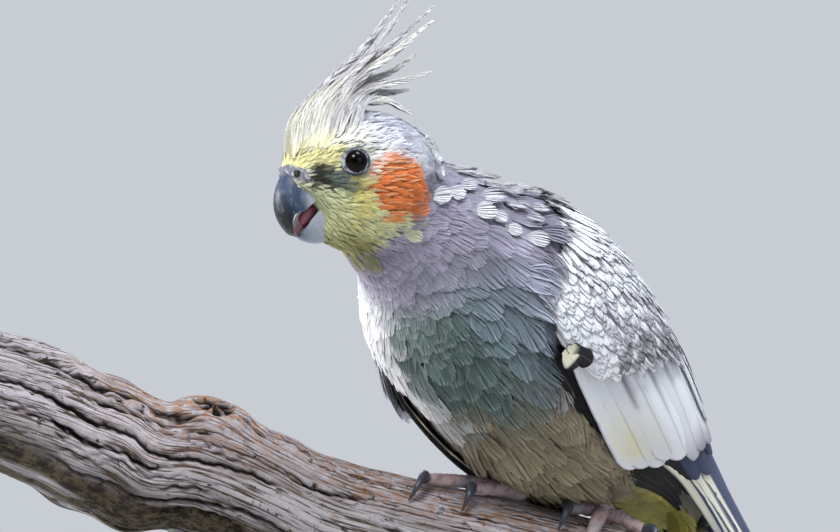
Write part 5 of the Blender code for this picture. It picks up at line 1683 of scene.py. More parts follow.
def make_crest_hair(settings, count=3800, steps=9):
    """Long hair-like feathers from the forehead and crown that gather into the crest."""
    dice = np.random.default_rng(settings.seed + 12)
    place = dice.uniform(0.0, len(CREST) - 1.0, count)
    edge = dice.uniform(-1.0, 1.0, count)
    edge = np.where((place < 3.0) & (edge < -0.25), -edge, edge)
    aside = edge * (3.4 + 5.2 * smooth(place / 4.5))
    reach = dice.uniform(0.18, 0.60, count) * (1.0 - 0.70 * edge**2)
    t = np.linspace(0.0, 1.0, steps)
    share = reach[:, None] * t[None]
    path = crest_path(place, share)

    def surface_at(ahead):
        row = head_row(ahead)
        return row[:, 1] * np.sqrt(np.clip(1.0 - (aside / row[:, 0]) ** 2, 0.05, 1.0))

    # The lower a hair's root lies on the side of the head, the farther forward it starts.
    start = path[:, 0].copy()
    drop = np.clip(start[:, 2] - surface_at(start[:, 0]), 0.0, 9.0) * 0.9 * smooth(reach / 0.35)
    start_x = np.maximum(np.minimum(start[:, 0] + drop, 15.0), start[:, 0])
    settle = (1.0 - t) ** 1.5
    path[..., 0] += (start_x - start[:, 0])[:, None] * settle
    path[..., 2] += (surface_at(start_x) - 1.5 - start[:, 2])[:, None] * settle
    narrowing = 1.0 - 0.75 * smooth(share / 0.6)
    path[..., 1] += aside[:, None] * narrowing - path[:, :1, 1] * settle
    path += dice.normal(0.0, 0.35, (count, 1, 3)) * t[None, :, None]
    along = unit(np.gradient(path, axis=1))
    half = dice.uniform(0.12, 0.26, count)[:, None] * (1.0 - t**2.2 * 0.85)[None]
    cream, lilac = inks(settings, "cream", "lilac")
    root = np.stack([path[:, 0, 0], path[:, 0, 1], np.maximum(path[:, 0, 2], 8.0)], 1)
    tint = plumage(from_head(root), settings)
    tint = laid(tint, cream * 0.88, 0.2 + 0.4 * dice.uniform(0.0, 1.0, count))
    # The grey-lilac, more on rearward hairs, is partly their own colour and partly painted bluish shade.
    tint = laid(tint, lilac, 0.08 + smooth((place - 1.0) / 4.0) * dice.uniform(0.0, 0.95, count) ** 1.3)
    tint = tint[:, None] * np.linspace(1.0, 0.92, steps)[None, :, None]
    low = smooth((edge - 0.1) / 0.6) * smooth((6.5 - place) / 3.0)
    fade = low[:, None] * (1.0 - smooth(np.linspace(0.0, 2.0, steps)))[None]
    tint = laid_on(tint, linear("F2EAB0"), fade[..., None] * 0.75)
    return hair_mesh("coat_crest_hair", path, face_across(along, dice, 0.22), half, tint, dice)


def make_plumes(settings, steps=4):
    """The crest's long plumes: a pale lilac shaft with loose barbs, longest along its rear edge."""
    dice = np.random.default_rng(settings.seed + 9)
    cream, lilac = inks(settings, "cream", "lilac")
    places = np.concatenate([np.arange(len(CREST)), dice.uniform(0.0, len(CREST) - 1.0, 15)])
    centres, across, half, tint = [], [], [], []
    for k, place in enumerate(places):
        reach = 1.0 if k < len(CREST) else dice.uniform(0.55, 0.85)
        shift = np.zeros(3) if k < len(CREST) else dice.normal(0.0, 0.7, 3)
        lilac_and_shade = dice.uniform(0.0, 1.0)
        for rearward, count, long in ((1.0, 190, 5.0), (-1.0, 120, 2.0)):
            t = np.sort(dice.uniform(0.16 if rearward > 0.0 else 0.26, 0.985, count))
            at = crest_path(np.full(count, place), (t * reach)[:, None])[:, 0] + shift * t[:, None]
            ahead = crest_path(np.full(count, place), (np.minimum(t * reach + 0.01, 1.0))[:, None])[:, 0]
            way = unit(ahead + shift * t[:, None] - at + 1e-5)
            rear = unit(np.cross(way, np.array([0.0, 1.0, 0.0])))
            angle = np.radians(27.0 - 14.0 * t + dice.normal(0.0, 2.2, count))[:, None]
            barb = way * np.cos(angle) + rear * rearward * np.sin(angle)
            barb[:, 1] += dice.normal(0.0, 0.14, count)
            size = long * reach * (0.25 + 0.75 * smooth(t / 0.3)) * (1.0 - t) ** 0.62
            size = (size * dice.uniform(0.86, 1.08, count) + 0.5)[:, None, None]
            q = np.linspace(0.0, 1.0, steps)[None, :, None]
            path = at[:, None] + barb[:, None] * size * q + way[:, None] * size * 0.3 * q * q
            centres.append(path)
            across.append(face_across(unit(np.gradient(path, axis=1)), dice, 0.12))
            half.append(np.full((count, 1), 0.19) * (1.0 - 0.8 * np.linspace(0.0, 1.0, steps) ** 1.5)[None])
            # The grey-lilac share is partly each plume's own colour and partly painted bluish shade on the
            # darker plumes.
            base = cream * 0.92 + (lilac * 1.1 - cream * 0.92) * (0.22 + 0.6 * lilac_and_shade)
            tint.append(np.tile(base, (count, steps, 1)) * dice.normal(1.0, 0.08, (count, 1, 1)))
    parts = (np.concatenate(part) for part in (centres, across, half, tint))
    barbs = hair_mesh("coat_crest_barbs", *parts, dice)
    steps = 26
    share = np.linspace(0.16, 1.0, steps)
    shafts = crest_path(np.arange(len(CREST), dtype=float), np.tile(share, (len(CREST), 1)))
    ways = unit(np.gradient(shafts, axis=1))
    wide = np.tile(0.48 * (1.0 - share) ** 0.8 + 0.08, (len(CREST), 1))
    colour = np.tile(cream * 0.5 + lilac * 0.55, (len(CREST), steps, 1))
    made = hair_mesh("coat_crest_shafts", shafts, face_across(ways, dice, 0.2), wide, colour, dice)
    return join("crest_plumes", [barbs, made])


# Bill, eyes and feet


def bill_half(name, rows, settings, rings=44, arcs=28):
    """One half of the bill, D-shaped in section, with its colour by place."""
    table = [(i, *outer, *inner, half) for i, (outer, inner, half) in enumerate(rows)]
    place = np.linspace(0.0, len(rows) - 1.0, rings)
    values = curve_through(table)(place)
    turn = np.linspace(-0.5, 0.5, arcs + 1) * np.pi
    points, tint = [], []
    slate, pale = inks(settings, "bill", "bill_pale")
    upper = name.startswith("bill_upper")
    for i, value in enumerate(values):
        out, inn, half = np.array([value[0], 0.0, value[1]]), np.array([value[2], 0.0, value[3]]), value[4]
        ridge = 1.0 + (0.035 * np.exp(-((turn / 0.35) ** 2)) if upper else 0.0)
        ring = inn + (out - inn) * (np.cos(turn) * ridge)[:, None]
        ring[:, 1] = half * np.sin(turn)
        hollow = [inn + (out - inn) * 0.2 + np.array([0.0, half * k, 0.0]) for k in (0.6, 0.2, -0.2, -0.6)]
        points.append(np.concatenate([ring, hollow]))
        t = i / (rings - 1.0)
        rear = np.clip(1.0 - t * 2.4, 0.0, 1.0)
        low = np.concatenate([1.0 - np.cos(turn), np.ones(4)])
        share = smooth((rear * low - 0.10) / 0.30) * 0.8 if upper else np.full(arcs + 5, 0.95 - 0.75 * t**2.5)
        colour = slate + (pale - slate) * share[:, None]
        colour[arcs + 1 :] = linear("6E2A34")
        if upper:
            colour = colour * (1.0 - 0.95 * smooth((t - 0.32) / 0.34))
            # Painted shade: the upper bill's inner face is darkened inside the open mouth.
            colour[arcs + 1 :] *= 0.4
        tint.append(colour)
    columns = arcs + 5
    obj = capped(name, from_head(np.concatenate(points)), rings, columns)
    count = len(obj.data.vertices)
    points = np.concatenate(points)
    scurf = ripple(points * (1.0, 1.6, 1.2), 0.40, 61) * ripple(points, 2.6, 62)
    worn = smooth((scurf - 0.20) / 0.2) * (0.36 if upper else 0.2)
    colours = laid(np.concatenate(tint), linear("8D95A3"), worn)
    colours = np.concatenate([colours, np.tile(colours[-1], (max(count - len(colours), 0), 1))])[:count]
    tinted(obj, colours)
    obj.data.set_sharp_from_angle(angle=math.radians(50.0))
    return obj


def make_cere(settings):
    """The bare granular cere that saddles the bill's root, with its two round nostrils sunk in."""
    line = np.array(CERE + tuple((x, -y, z) for x, y, z in CERE[-2::-1]))
    place = np.linspace(0.0, len(line) - 1.0, 150)
    centres = curve_through([(i, *point) for i, point in enumerate(line)])(place)
    share = np.linspace(0.0, 1.0, 150)
    radii = rounded(1.25 + 0.95 * np.sin(np.pi * share) ** 1.5, share, 0.12)
    obj = tube("cere", from_head(centres - np.array([0.5, 0.0, 0.2])), radii, 80)
    head = into_head(to_bird(places(obj)))
    way = unit(head - np.array([11.5, 0.0, -1.0]))
    grains = ripple(head, 0.42, 30) * 0.10 + ripple(head, 1.1, 32) * 0.12
    tint = np.tile(np.array(settings.cere), (len(head), 1))
    tint = laid(tint, linear("C9C8CE"), smooth((ripple(head, 0.5, 31) - 0.15) / 0.3) * 0.7)
    tint = laid(tint, linear("5E5A62"), smooth((ripple(head, 0.8, 34) - 0.25) / 0.3) * 0.6)
    for side in (1, -1):
        near = np.linalg.norm(head - mirrored(NOSTRIL_AT, side), axis=1).argmin()
        gap = np.linalg.norm(head - head[near], axis=1)
        rim = np.exp(-(((gap - 1.35) / 0.4) ** 2)) * 0.16
        pit = smooth((1.15 - gap) / 0.45)
        grains += rim - pit * 0.05
        # Painted shade: each nostril's opening is near black, as its deep hole would look.
        tint = laid(tint, linear("160B09"), smooth((1.15 - gap) / 0.3))
    head += way * grains[:, None]
    obj.data.vertices.foreach_set("co", to_world(from_head(head)).astype(np.float32).ravel())
    return tinted(obj, tint)


def eye_ring(name, side, settings, around=120, sides=18):
    """The bare blue-grey lids: a fleshy ring with fine creases across it and a row of papillae."""
    look = unit(mirrored(EYE_LOOK, side))
    across = unit(np.cross(look, np.array([0.0, 0.0, 1.0])))
    up = np.cross(across, look)
    centre = mirrored(EYE_AT, side) + look * 1.75
    turn = all_round(around)
    roll = all_round(sides)
    crease = 1.0 + 0.14 * np.sin(turn * 34.0)[:, None] * (0.5 + 0.5 * np.cos(roll))[None]
    oval = 1.0 + 0.08 * np.cos(2.0 * turn)
    reach = (2.15 * oval)[:, None] + 0.62 * (1.0 + np.cos(roll))[None]
    rise = 0.42 * np.sin(roll)[None] * crease - 0.25 * (1.0 + np.cos(roll))[None]
    out = across * np.cos(turn)[:, None] + up * np.sin(turn)[:, None]
    points = centre + out[:, None] * reach[..., None] + look * rise[..., None]
    faces = grid_faces(around + 1, sides, True) % (around * sides)
    obj = outward(mesh_object(name, from_head(points.reshape(-1, 3)), faces))
    flecks = np.sin(turn * 34.0)[:, None] * np.sin(roll * 3.0)[None] * 0.5 + 0.5
    inner = smooth((-np.cos(roll) - 0.35) / 0.5)[None]
    tint = np.array(settings.lid) * (0.85 + 0.25 * np.broadcast_to(flecks, crease.shape).reshape(-1, 1))
    specks = ripple(points.reshape(-1, 3), 0.5, 51)
    tint = laid(tint, linear("BFC6D2"), smooth((specks - 0.16) / 0.25) * 0.7)
    tint = laid(tint, linear("3A414D"), smooth((-0.25 - specks) / 0.3) * 0.7)
    tint = laid(tint, linear("1D1E22"), np.broadcast_to(inner, crease.shape).reshape(-1) * 0.85)
    return tinted(obj, tint[: len(obj.data.vertices)])


def make_eye(name, side):
    """A dark brown eye as a round ball, its pupil hardly darker than the iris."""
    obj = ball(name, mirrored(EYE_AT, side), (EYE_RADIUS,) * 3, 64)
    head = into_head(to_bird(places(obj))) - mirrored(EYE_AT, side)
    facing = dot(unit(head), unit(mirrored(EYE_LOOK, side)))
    tint = np.tile(ink("0E0806"), (len(head), 1))
    tint = laid(tint, linear("030303"), smooth((facing - 0.90) / 0.03))
    tint = laid(tint, linear("0A0706"), smooth((0.62 - facing) / 0.1))
    return tinted(obj, tint)


def perch_axes():
    """The branch's ways along, up and to the camera's side, in the row frame."""
    drop, recede = math.radians(PERCH_DROP), math.radians(PERCH_RECEDE)
    along = np.array([math.cos(recede) * math.cos(drop), math.sin(recede) * math.cos(drop), -math.sin(drop)])
    side = unit(np.cross(along, np.array([0.0, 0.0, 1.0])))
    return along, np.cross(side, along), side


def perch_point(s, turn, lift=0.0):
    """A point on the branch in the row frame, its turn in radians from its top to the camera's side."""
    s, turn = np.broadcast_arrays(np.asarray(s, float), np.asarray(turn, float))
    along, up, side = perch_axes()
    row = perch_row(s)
    swell = 0.5 * (np.cos(2.0 * turn + 0.03 * s) - np.cos(2.0 * turn)) * smooth(np.abs(s) / 60.0)
    around = (turn + math.pi) % (2.0 * math.pi) - math.pi
    knot = 2.6 * np.exp(-(((s + 92.0) / 12.0) ** 2) - ((around - 0.75) / 0.55) ** 2)
    ridge = 1.6 * np.exp(-(((s + 112.0) / 18.0) ** 2) - ((around - 1.1) / 0.45) ** 2)
    reach = row[..., 1] + swell + knot + ridge + lift
    rise = row[..., 0] - float(perch_row(0.0)[1])
    middle = np.array(BIRD_AT) + along * s[..., None] + up * rise[..., None]
    return middle + up * (reach * np.cos(turn))[..., None] + side * (reach * np.sin(turn))[..., None]


def tube(name, centres, radii, sides, relief=None):
    """A round-ended tube through the centres, its surface raised by relief(share along, turn)."""
    centres = np.asarray(centres, float)
    along = unit(np.gradient(centres, axis=0))
    side = unit(np.cross(along, np.array([0.0, 0.0, 1.0])))
    up = np.cross(side, along)
    turn = all_round(sides)
    share = np.linspace(0.0, 1.0, len(centres))
    reach = np.asarray(radii, float)[:, None] * np.ones(sides)
    if relief:
        reach = reach + relief(share[:, None], turn[None])
    points = centres[:, None] + side[:, None] * (reach * np.cos(turn))[..., None]
    points = points + up[:, None] * (reach * np.sin(turn))[..., None]
    return capped(name, points.reshape(-1, 3), len(centres), sides)


def rounded(radii, share, blunt=0.12):
    """Radii that close to a round end at both ends."""
    start, end = (
        np.sqrt(np.clip(1.0 - (1.0 - np.clip(gap / blunt, 0, 1)) ** 2, 0.02, 1.0))
        for gap in (share, 1.0 - share))
    return radii * start * end


def toe(name, foot, tip, settings, steps=64):
    """A toe with overlapping scutes along its top and soft pads beneath."""
    share = np.linspace(0.0, 1.0, steps)
    radius = 1.95 - 0.45 * share
    s, turn = (foot[k] + (tip[k] - foot[k]) * share for k in range(2))
    centres = from_row(perch_point(s, turn, radius - 0.35 + 0.7 * np.sin(np.pi * share)))
    length = np.linalg.norm(np.diff(centres, axis=0), axis=1).sum()
    scutes = max(6, round(length / (settings.scute / MM)))

    def relief(along, around):
        top = smooth((np.sin(around) + 0.25) / 0.5)
        plate = (along * scutes) % 1.0
        pads = 0.16 * np.sin(along * np.pi * 6.0) * smooth((-np.sin(around) - 0.1) / 0.5)
        return top * (0.34 * plate**0.6 - 0.20) + pads

    return tube(name, centres, rounded(radius, share, 0.09), 22, relief)


def make_leg(side_name, settings):
    """One shank, its palm and four scaled toes round the branch."""
    foot = FEET[side_name]
    palm = from_row(perch_point(foot[0], foot[1], 2.3))
    outward_way = 1.0 if side_name == "left" else -1.0
    hip = palm + np.array([2.5, -outward_way * 1.5, 15.0])
    share = np.linspace(0.0, 1.0, 40)

    def shank_relief(along, around):
        return 0.12 * (np.sin(along * 52.0) * np.sin(around * 5.0 + np.floor(along * 8.3) * 1.6))

    pieces = [tube("shank", palm + (hip - palm) * share[:, None], 2.6 + 0.7 * share, 22, shank_relief)]
    ends = palm + np.array([1.0, 0.0, 0.0]) * (share[:, None] * 5.6 - 2.8)
    pieces.append(tube("palm", ends, rounded(np.full(40, 2.75), share, 0.45), 22, shank_relief))
    for tip, _ in TOES[side_name].values():
        pieces.append(toe("toe", foot, tip, settings))
    obj = join(f"foot_{side_name}", pieces)
    points = to_bird(places(obj))
    tint = np.tile(np.array(settings.foot), (len(points), 1))
    tint = laid(tint, linear("8C93A0"), smooth((ripple(points, 5.0, 8) + 0.1) / 0.8) * 0.6)
    tint = laid(tint, linear("6B4A4C"), smooth((ripple(points, 1.6, 9) - 0.45) / 0.4) * 0.5)
    return tinted(obj, tint)


def make_claw(name, tip, end, settings):
    """A curved tapering claw from a toe's tip to the branch."""
    share = np.linspace(0.0, 1.0, 28)
    s, turn = (tip[k] + (end[k] - tip[k]) * share for k in range(2))
    lift = 1.4 - 0.8 * share**2 + 2.5 * np.sin(np.pi * np.minimum(share * 1.05, 1.0)) ** 0.9
    centres = from_row(perch_point(s, turn, lift))
    radii = 1.4 * (1.0 - 0.88 * share**1.7)
    obj = tube(name, centres, radii, 18)
    place = np.minimum(np.arange(len(obj.data.vertices)) // 18, 27) / 27.0
    tint = np.array(settings.claw) * (1.25 - 0.5 * place[:, None])
    return tinted(obj, tint)


def make_tongue(settings):
    """The blunt tongue in the open bill."""
    line = np.array([(ahead, 0.0, up) for ahead, up in TONGUE])
    place = curve_through([(i, *point) for i, point in enumerate(line)])(np.linspace(0.0, 3.0, 28))
    share = np.linspace(0.0, 1.0, 28)
    obj = tube("tongue_tip", from_head(place), rounded(np.full(28, 1.55), share, 0.25), 20)
    return tinted(obj, np.tile(np.array(settings.tongue), (len(obj.data.vertices), 1)))


# Branch


def crack(s, turn, line, width, span):
    """How deep in a crack each place lies, from 0 to 1, along a line of turn against distance."""
    centre = curve_through(line)(s)[..., 0]
    gap = (turn - centre + np.pi) % (2.0 * np.pi) - np.pi
    ends = smooth((s - span[0]) / 8.0) * smooth((span[1] - s) / 8.0)
    wander = 0.030 * np.sin(s * 0.21 + 2.0) + 0.012 * np.sin(s * 0.83) + 0.006 * np.sin(s * 2.3 + 1.0)
    return np.exp(-(((gap - wander) / width) ** 2)) * ends


CRACKS = (
    (((-150, 0.62), (-120, 0.80), (-96, 0.86), (-70, 0.95)), 0.050, (-152, -92), 1.3),
    (((-150, 1.30), (-120, 1.32), (-90, 1.42), (-40, 1.30)), 0.040, (-152, -66), 1.2),
    (((-110, 1.08), (-80, 1.18), (-50, 1.10), (-20, 0.9)), 0.026, (-116, -38), 0.8),
    (((-100, 0.55), (-60, 0.70), (-30, 0.62), (40, 0.5)), 0.022, (-62, 20), 0.6),
    (((-150, 1.95), (-100, 2.05), (-50, 1.9), (40, 1.8)), 0.035, (-130, -20), 0.9),
    (((-60, 1.45), (-20, 1.50), (10, 1.40), (40, 1.3)), 0.045, (-46, 4), 1.1),
    (((-150, -0.5), (-90, -0.35), (-40, -0.5), (40, -0.3)), 0.030, (-140, 10), 0.8),
    (((-150, -1.6), (-90, -1.7), (-40, -1.5), (40, -1.6)), 0.040, (-120, 36), 1.0),
    (((-150, 3.0), (-90, 2.8), (-40, 3.1), (40, 3.0)), 0.040, (-146, 38), 1.0),
)

LIP_LINE = ((-152, 0.50), (-128, 0.72), (-108, 0.92), (-92, 0.80), (-70, 0.55), (-40, 0.2), (46, 0.1))
KNOT_AT = (-90.5, 0.62)


def fibres(s, turn, dice):
    """Fibres that run along the branch, over low lumps."""
    ribs, lumps = np.zeros_like(s), np.zeros_like(s)
    for _ in range(26):
        k = dice.integers(2, 40)
        wave = dice.normal(0.0, 0.075)
        ribs += np.sin(k * turn + wave * s + dice.uniform(0, 6.28)) * 0.45 / (k**0.72)
    for _ in range(14):
        k = dice.integers(1, 9)
        lumps += np.sin(k * turn + dice.normal(0.0, 0.24) * s + dice.uniform(0, 6.28))
    return ribs * 0.13 + lumps * 0.09


def checks(s, turn, dice):
    """How deep the long cracks and the short checks between them are."""
    depth = np.zeros_like(s)
    for line, width, span, deep in CRACKS:
        depth += crack(s, turn, line, width, span) * deep
    for _ in range(190):
        at, around = dice.uniform(-150.0, 20.0), dice.uniform(-0.9, 2.3)
        long, slant = dice.uniform(2.0, 14.0), dice.normal(0.0, 0.004)
        gap = turn - around - slant * (s - at) - 0.018 * np.sin(s * 1.3 + at)
        depth += dice.uniform(0.25, 0.9) * np.exp(-((gap / 0.028) ** 2) - ((s - at) / long) ** 4)
    return depth


def make_branch(settings):
    """The weathered branch: long checks, a lifted lip of old wood, a knot and fibrous relief."""
    rows, columns = 430, 216
    s = np.linspace(PERCH[0][0] + 0.15, PERCH[-1][0] - 0.15, rows)
    turn = np.linspace(-np.pi, np.pi, columns, endpoint=False)
    s, turn = np.meshgrid(s, turn, indexing="ij")
    dice = np.random.default_rng(17)
    relief = fibres(s, turn, dice)
    depth = checks(s, turn, dice)
    # A lip of older wood runs down from the left over the bared wood below it.
    over = curve_through(LIP_LINE)(s)[..., 0] + 0.03 * np.sin(s * 0.8) - turn
    lip = smooth((over + 0.03) / 0.06) * np.exp(-((np.maximum(over, 0.0) / 0.55) ** 2))
    relief += lip * smooth((-58.0 - s) / 26.0) * 1.25
    # The knot's hollow, with a raised rim round it
    ahead, aside = s - KNOT_AT[0], turn - KNOT_AT[1]
    knot = np.hypot(ahead / 6.2, aside / 0.26)
    relief += 1.9 * np.exp(-(((knot - 1.2) / 0.40) ** 2))
    hollow = smooth((0.95 - knot) / 0.35) * 1.9
    depth = depth + hollow * 0.95 * (0.6 + 0.4 * np.sin(6.0 * np.arctan2(aside, ahead * 0.04)))
    lift = relief - np.clip(depth, 0.0, 1.6) * (settings.crack_depth / MM)
    # Under the toes and over the rods the surface keeps to the plain shape.
    near_feet = smooth((s + 44.0) / 8.0) * smooth((32.0 - s) / 8.0) * smooth((2.0 - np.abs(turn)) / 0.4)
    lift = lift * (1.0 - 0.75 * near_feet) - 0.25 * near_feet
    points = perch_point(s, turn, np.clip(lift, -3.0, 1.6))
    obj = capped("branch", from_row(points.reshape(-1, 3)), rows, columns)
    ends = len(obj.data.vertices) - s.size
    # The depth stored here also paints shade into the cracks and the knot's hollow.
    grain = np.stack([s, turn * perch_row(s)[..., 1], np.clip(depth, 0.0, 2.0)], -1).reshape(-1, 3)
    warm = np.exp(-(((s + 94.0) / 26.0) ** 2) - ((turn - 0.6) / 0.7) ** 2) * 0.8
    warm += 0.55 * smooth((s + 70.0) / 20.0) * smooth((1.35 - np.abs(turn)) / 0.5)
    # The underside is darker: dark moss there, and painted shade beneath the branch.
    damp = smooth((np.abs(turn) - 1.62) / 0.6) * smooth((-10.0 - s) / 60.0 + 0.6)
    give(obj, "grain", np.concatenate([grain, np.zeros((ends, 3))]))
    for name, values in (("warm", warm), ("damp", damp)):
        give(obj, name, np.concatenate([values.ravel(), np.zeros(ends)]), "FLOAT")
    obj.data.shade_smooth()
    obj.data.set_sharp_from_angle(angle=math.radians(60.0))
    return obj


# Operators: one for each piece or group of like pieces


class COCKATIEL_OT_plumage(bpy.types.Operator):
    """Make the skin and the coat of small feathers over it."""

    bl_idname = "cockatiel.plumage"
    bl_label = "Skin and small feathers"

    def execute(self, context):
        settings = context.scene.cockatiel_plumage
        skin = make_skin(settings)
        fine = feather_finish("hair_like_head_feathers", 1.0, 0.03, 0.72, 0.24, soft=0.65)
        loose = feather_finish("loose_contour_feathers", 1.0, 0.05, 0.62, 0.12, soft=0.7, painted_root_shade=0.24)
        for piece in head_coat(skin, settings, fine):
            put(piece, fine, "pale_yellow_plumage")
        for piece in body_coat(skin, settings, loose):
            put(piece, loose, "grey_plumage")
        put(skin, tinted_skin("downy_skin", 0.8, 0.8, 0.12), "grey_plumage", "head", "neck", "torso")
        return {"FINISHED"}


class COCKATIEL_OT_wings(bpy.types.Operator):
    """Make both folded wings."""

    bl_idname = "cockatiel.wings"
    bl_label = "Wings"

    def execute(self, context):
        settings = context.scene.cockatiel_plumage
        finish = feather_finish("flight_and_covert_vanes", 0.60, 0.05, 0.86, 0.06, quill=0.3)
        down = tinted_skin("wing_down", 0.9, 0.6, 0.2)
        for side, name in SIDES:
            wing = make_wing(f"wing_feathers_{name}", side, settings)
            put(wing, finish, "white_and_grey_vanes", f"wing_{name}")
            put(wing_bed(f"wing_down_{name}", side, settings), down, "white_and_grey_vanes")
        return {"FINISHED"}


class COCKATIEL_OT_tail(bpy.types.Operator):
    """Make the tail's long feathers."""

    bl_idname = "cockatiel.tail"
    bl_label = "Tail"

    def execute(self, context):
        settings = context.scene.cockatiel_plumage
        finish = feather_finish("tail_vanes", 0.80, 0.08, 0.84, 0.12, quill=0.5)
        put(make_tail(settings), finish, "grey_tail_vanes", "tail")
        return {"FINISHED"}


class COCKATIEL_OT_crest(bpy.types.Operator):
    """Make the raised crest."""

    bl_idname = "cockatiel.crest"
    bl_label = "Crest"

    def execute(self, context):
        settings = context.scene.cockatiel_plumage
        finish = feather_finish("loose_crest_plumes", 1.0, 0.04, 0.9, 0.28, soft=0.65)
        put(make_plumes(settings), finish, "pale_yellow_plumage", "crest")
        put(make_crest_hair(settings), finish, "pale_yellow_plumage")
        return {"FINISHED"}


class COCKATIEL_OT_face(bpy.types.Operator):
    """Make the bill, cere, tongue, eyes and their bare lids."""

    bl_idname = "cockatiel.face"
    bl_label = "Bill and eyes"

    def execute(self, context):
        settings = context.scene.cockatiel_horn
        horn = tinted_skin("keratin_horn", 0.42, 0.45, 0.09, 0.1)
        bare = tinted_skin("bare_skin", 0.6, 0.35, 0.10)
        wet = tinted_skin("moist_tongue", 0.25, 0.5, 0.05, 0.6)
        put(bill_half("bill_upper_horn", UPPER_BILL, settings), horn, "slate_horn", "bill_upper")
        put(bill_half("bill_lower_horn", LOWER_BILL, settings), horn, "pale_horn", "bill_lower")
        put(make_cere(settings), bare, "scaly_skin")
        put(make_tongue(settings), wet, "tongue_skin", "tongue")
        glossy = eye_finish()
        for side, name in SIDES:
            put(make_eye(f"eyeball_{name}", side), glossy, "dark_eye", f"eye_{name}")
            put(eye_ring(f"lids_{name}", side, settings), bare, "scaly_skin")
        return {"FINISHED"}


class COCKATIEL_OT_feet(bpy.types.Operator):
    """Make the scaled toes and the claws."""

    bl_idname = "cockatiel.feet"
    bl_label = "Feet"

    def execute(self, context):
        settings = context.scene.cockatiel_horn
        scaly = tinted_skin("scaly_foot_skin", 0.5, 0.35, 0.10)
        horn = tinted_skin("claw_horn", 0.3, 0.4, 0.04, 0.3)
        for side_name in ("left", "right"):
            put(make_leg(side_name, settings), scaly, "scaly_skin", f"leg_{side_name}")
            for toe_name, (tip, end) in TOES[side_name].items():
                claw = make_claw(f"horn_{side_name}_{toe_name}", tip, end, settings)
                put(claw, horn, "slate_horn", f"claw_{side_name}_{toe_name}")
        return {"FINISHED"}


class COCKATIEL_OT_perch(bpy.types.Operator):
    """Make the branch and finish the stand."""

    bl_idname = "cockatiel.perch"
    bl_label = "Branch and stand"

    def execute(self, context):
        settings = context.scene.cockatiel_stand
        put(make_branch(settings), wood_finish(settings), "weathered_wood", "perch")
        plinth, steel = plinth_finish(settings), steel_finish()
        for name, finish in (("stand_base", plinth), ("stand_rod_1", steel), ("stand_rod_2", steel)):
            node = frame["nodes"][name]
            for slot in node.material_slots:
                slot.material = finish
        return {"FINISHED"}


def soft_surround():
    """A pale surround, bright behind the bird and above, dimmer on the side that it faces."""
    world = bpy.data.worlds.new("soft_surround")
    world.use_nodes = True
    tree = world.node_tree
    way = add(tree, "ShaderNodeTexCoord").outputs["Generated"]
    parts = add(tree, "ShaderNodeSeparateXYZ", {"Vector": way}).outputs
    behind, above = ramp(tree, parts["Y"], -0.2, 0.75), ramp(tree, parts["Z"], 0.0, 0.9)
    share = sums(tree, "MULTIPLY_ADD", above, 0.5, behind)
    colour = mixed(tree, share, (0.085, 0.10, 0.13, 1.0), (0.58, 0.61, 0.66, 1.0))
    feed(tree, tree.nodes["Background"], {"Color": colour, "Strength": 1.0})
    return world


# Studio measures in metres: where the lamps aim, the floor, the picture's width at the bird's distance
AIM, FLOOR_RADIUS, PICTURE_WIDTH = (-0.0028, 0.008, 0.18), 3.2, 0.2049
# The picture's middle, in millimetres from the bird's origin
PICTURE_MIDDLE = (-33.8, 0.0, 59.3)
SENSOR_MM, CONE_DEGREES = 36.0, 24.0
LAMPS = (
    ("key", "SPOT", (-0.40, -1.40, 1.75), 0.40, (1.0, 0.985, 0.96)),
    ("top", "SPOT", (0.60, -0.30, 2.05), 0.45, (0.87, 0.93, 1.0)),
    ("side", "AREA", (-1.6, 0.1, 0.40), 0.5, (1.0, 0.98, 0.96)),
    ("fill", "AREA", (1.3, -1.5, 0.7), 1.4, (0.90, 0.95, 1.0)),
    ("rim", "AREA", (-0.2, 1.3, 1.2), 0.8, (0.93, 0.96, 1.0)),
)


def lamp(name, kind, at, size, colour, power):
    """A large soft disk, or a soft spot that keeps its light on the bird and off the floor round it."""
    data = bpy.data.lights.new(name, kind)
    data.energy = power
    data.color = colour
    if kind == "SPOT":
        data.shadow_soft_size = size
        data.spot_size = math.radians(CONE_DEGREES)
        data.spot_blend = 0.6
    else:
        data.shape = "DISK"
        data.size = size
    obj = linked(name, data)
    obj.location = at
    obj.rotation_euler = (Vector(AIM) - Vector(at)).to_track_quat("-Z", "Y").to_euler()


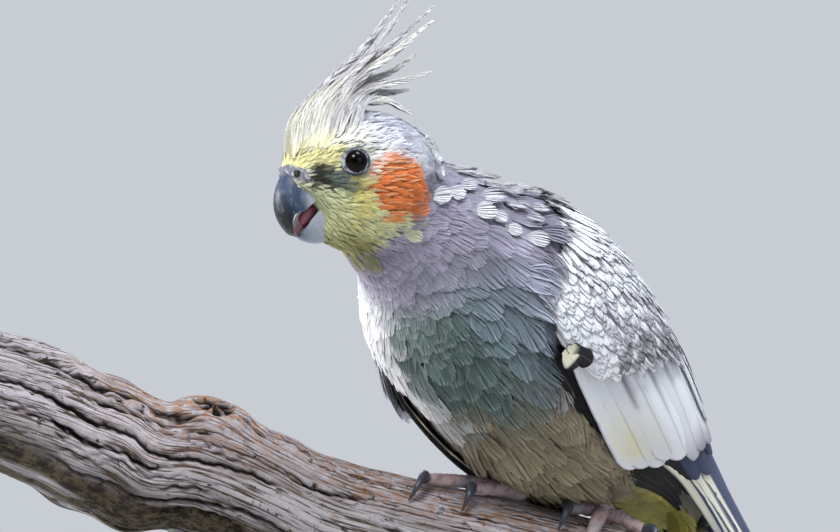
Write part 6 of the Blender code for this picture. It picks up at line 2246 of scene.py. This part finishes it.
class COCKATIEL_OT_stage(bpy.types.Operator):
    """Set the pale floor, the soft studio lights and the camera."""

    bl_idname = "cockatiel.stage"
    bl_label = "Studio and camera"

    def execute(self, context):
        settings = context.scene.cockatiel_stage
        scene = context.scene
        bpy.ops.mesh.primitive_circle_add(vertices=128, radius=FLOOR_RADIUS, fill_type="TRIFAN")
        floor = context.active_object
        floor.name = "studio_floor"
        floor.data.materials.append(floor_finish(settings.floor))
        scene.world = soft_surround()
        for name, *lamp_is in LAMPS:
            lamp(f"{name}_light", *lamp_is, getattr(settings, f"{name}_power"))
        data = bpy.data.cameras.new("photo_camera")
        data.sensor_width = SENSOR_MM
        data.lens = SENSOR_MM * settings.distance / PICTURE_WIDTH
        data.clip_start, data.clip_end = 0.05, 30.0
        camera = linked("photo_camera", data)
        middle = (np.array(BIRD_AT) + PICTURE_MIDDLE) * MM
        camera.location = (middle[0], middle[1] - settings.distance, middle[2])
        camera.rotation_euler = (math.radians(90.0), 0.0, 0.0)
        scene.camera = camera
        scene.view_settings.view_transform = "Standard"
        return {"FINISHED"}


class COCKATIEL_PT_panel(bpy.types.Panel):
    """Lists the pieces and their settings."""

    bl_label = "Cockatiel"
    bl_idname = "COCKATIEL_PT_panel"
    bl_space_type = "VIEW_3D"
    bl_region_type = "UI"
    bl_category = "Cockatiel"

    def draw(self, context):
        for operator in OPERATORS:
            self.layout.operator(operator.bl_idname)
        for name, group in GROUPS:
            box = self.layout.box()
            settings = getattr(context.scene, name)
            for key in group.__annotations__:
                box.prop(settings, key)


OPERATORS = (
    COCKATIEL_OT_stage,
    COCKATIEL_OT_perch,
    COCKATIEL_OT_feet,
    COCKATIEL_OT_face,
    COCKATIEL_OT_wings,
    COCKATIEL_OT_tail,
    COCKATIEL_OT_crest,
    COCKATIEL_OT_plumage,
)
GROUPS = (
    ("cockatiel_plumage", PlumageSettings),
    ("cockatiel_horn", HornSettings),
    ("cockatiel_stand", StandSettings),
    ("cockatiel_stage", StageSettings),
)


def register():
    for name, group in GROUPS:
        bpy.utils.register_class(group)
        setattr(bpy.types.Scene, name, PointerProperty(type=group))
    for kind in (*OPERATORS, COCKATIEL_PT_panel):
        bpy.utils.register_class(kind)


def unregister():
    for kind in (COCKATIEL_PT_panel, *reversed(OPERATORS)):
        bpy.utils.unregister_class(kind)
    for name, group in reversed(GROUPS):
        delattr(bpy.types.Scene, name)
        bpy.utils.unregister_class(group)


def main():
    register()
    bpy.ops.cockatiel.stage()
    bpy.ops.cockatiel.perch()
    bpy.ops.cockatiel.feet()
    bpy.ops.cockatiel.face()
    bpy.ops.cockatiel.wings()
    bpy.ops.cockatiel.tail()
    bpy.ops.cockatiel.crest()
    bpy.ops.cockatiel.plumage()


if __name__ == "__main__":
    main()
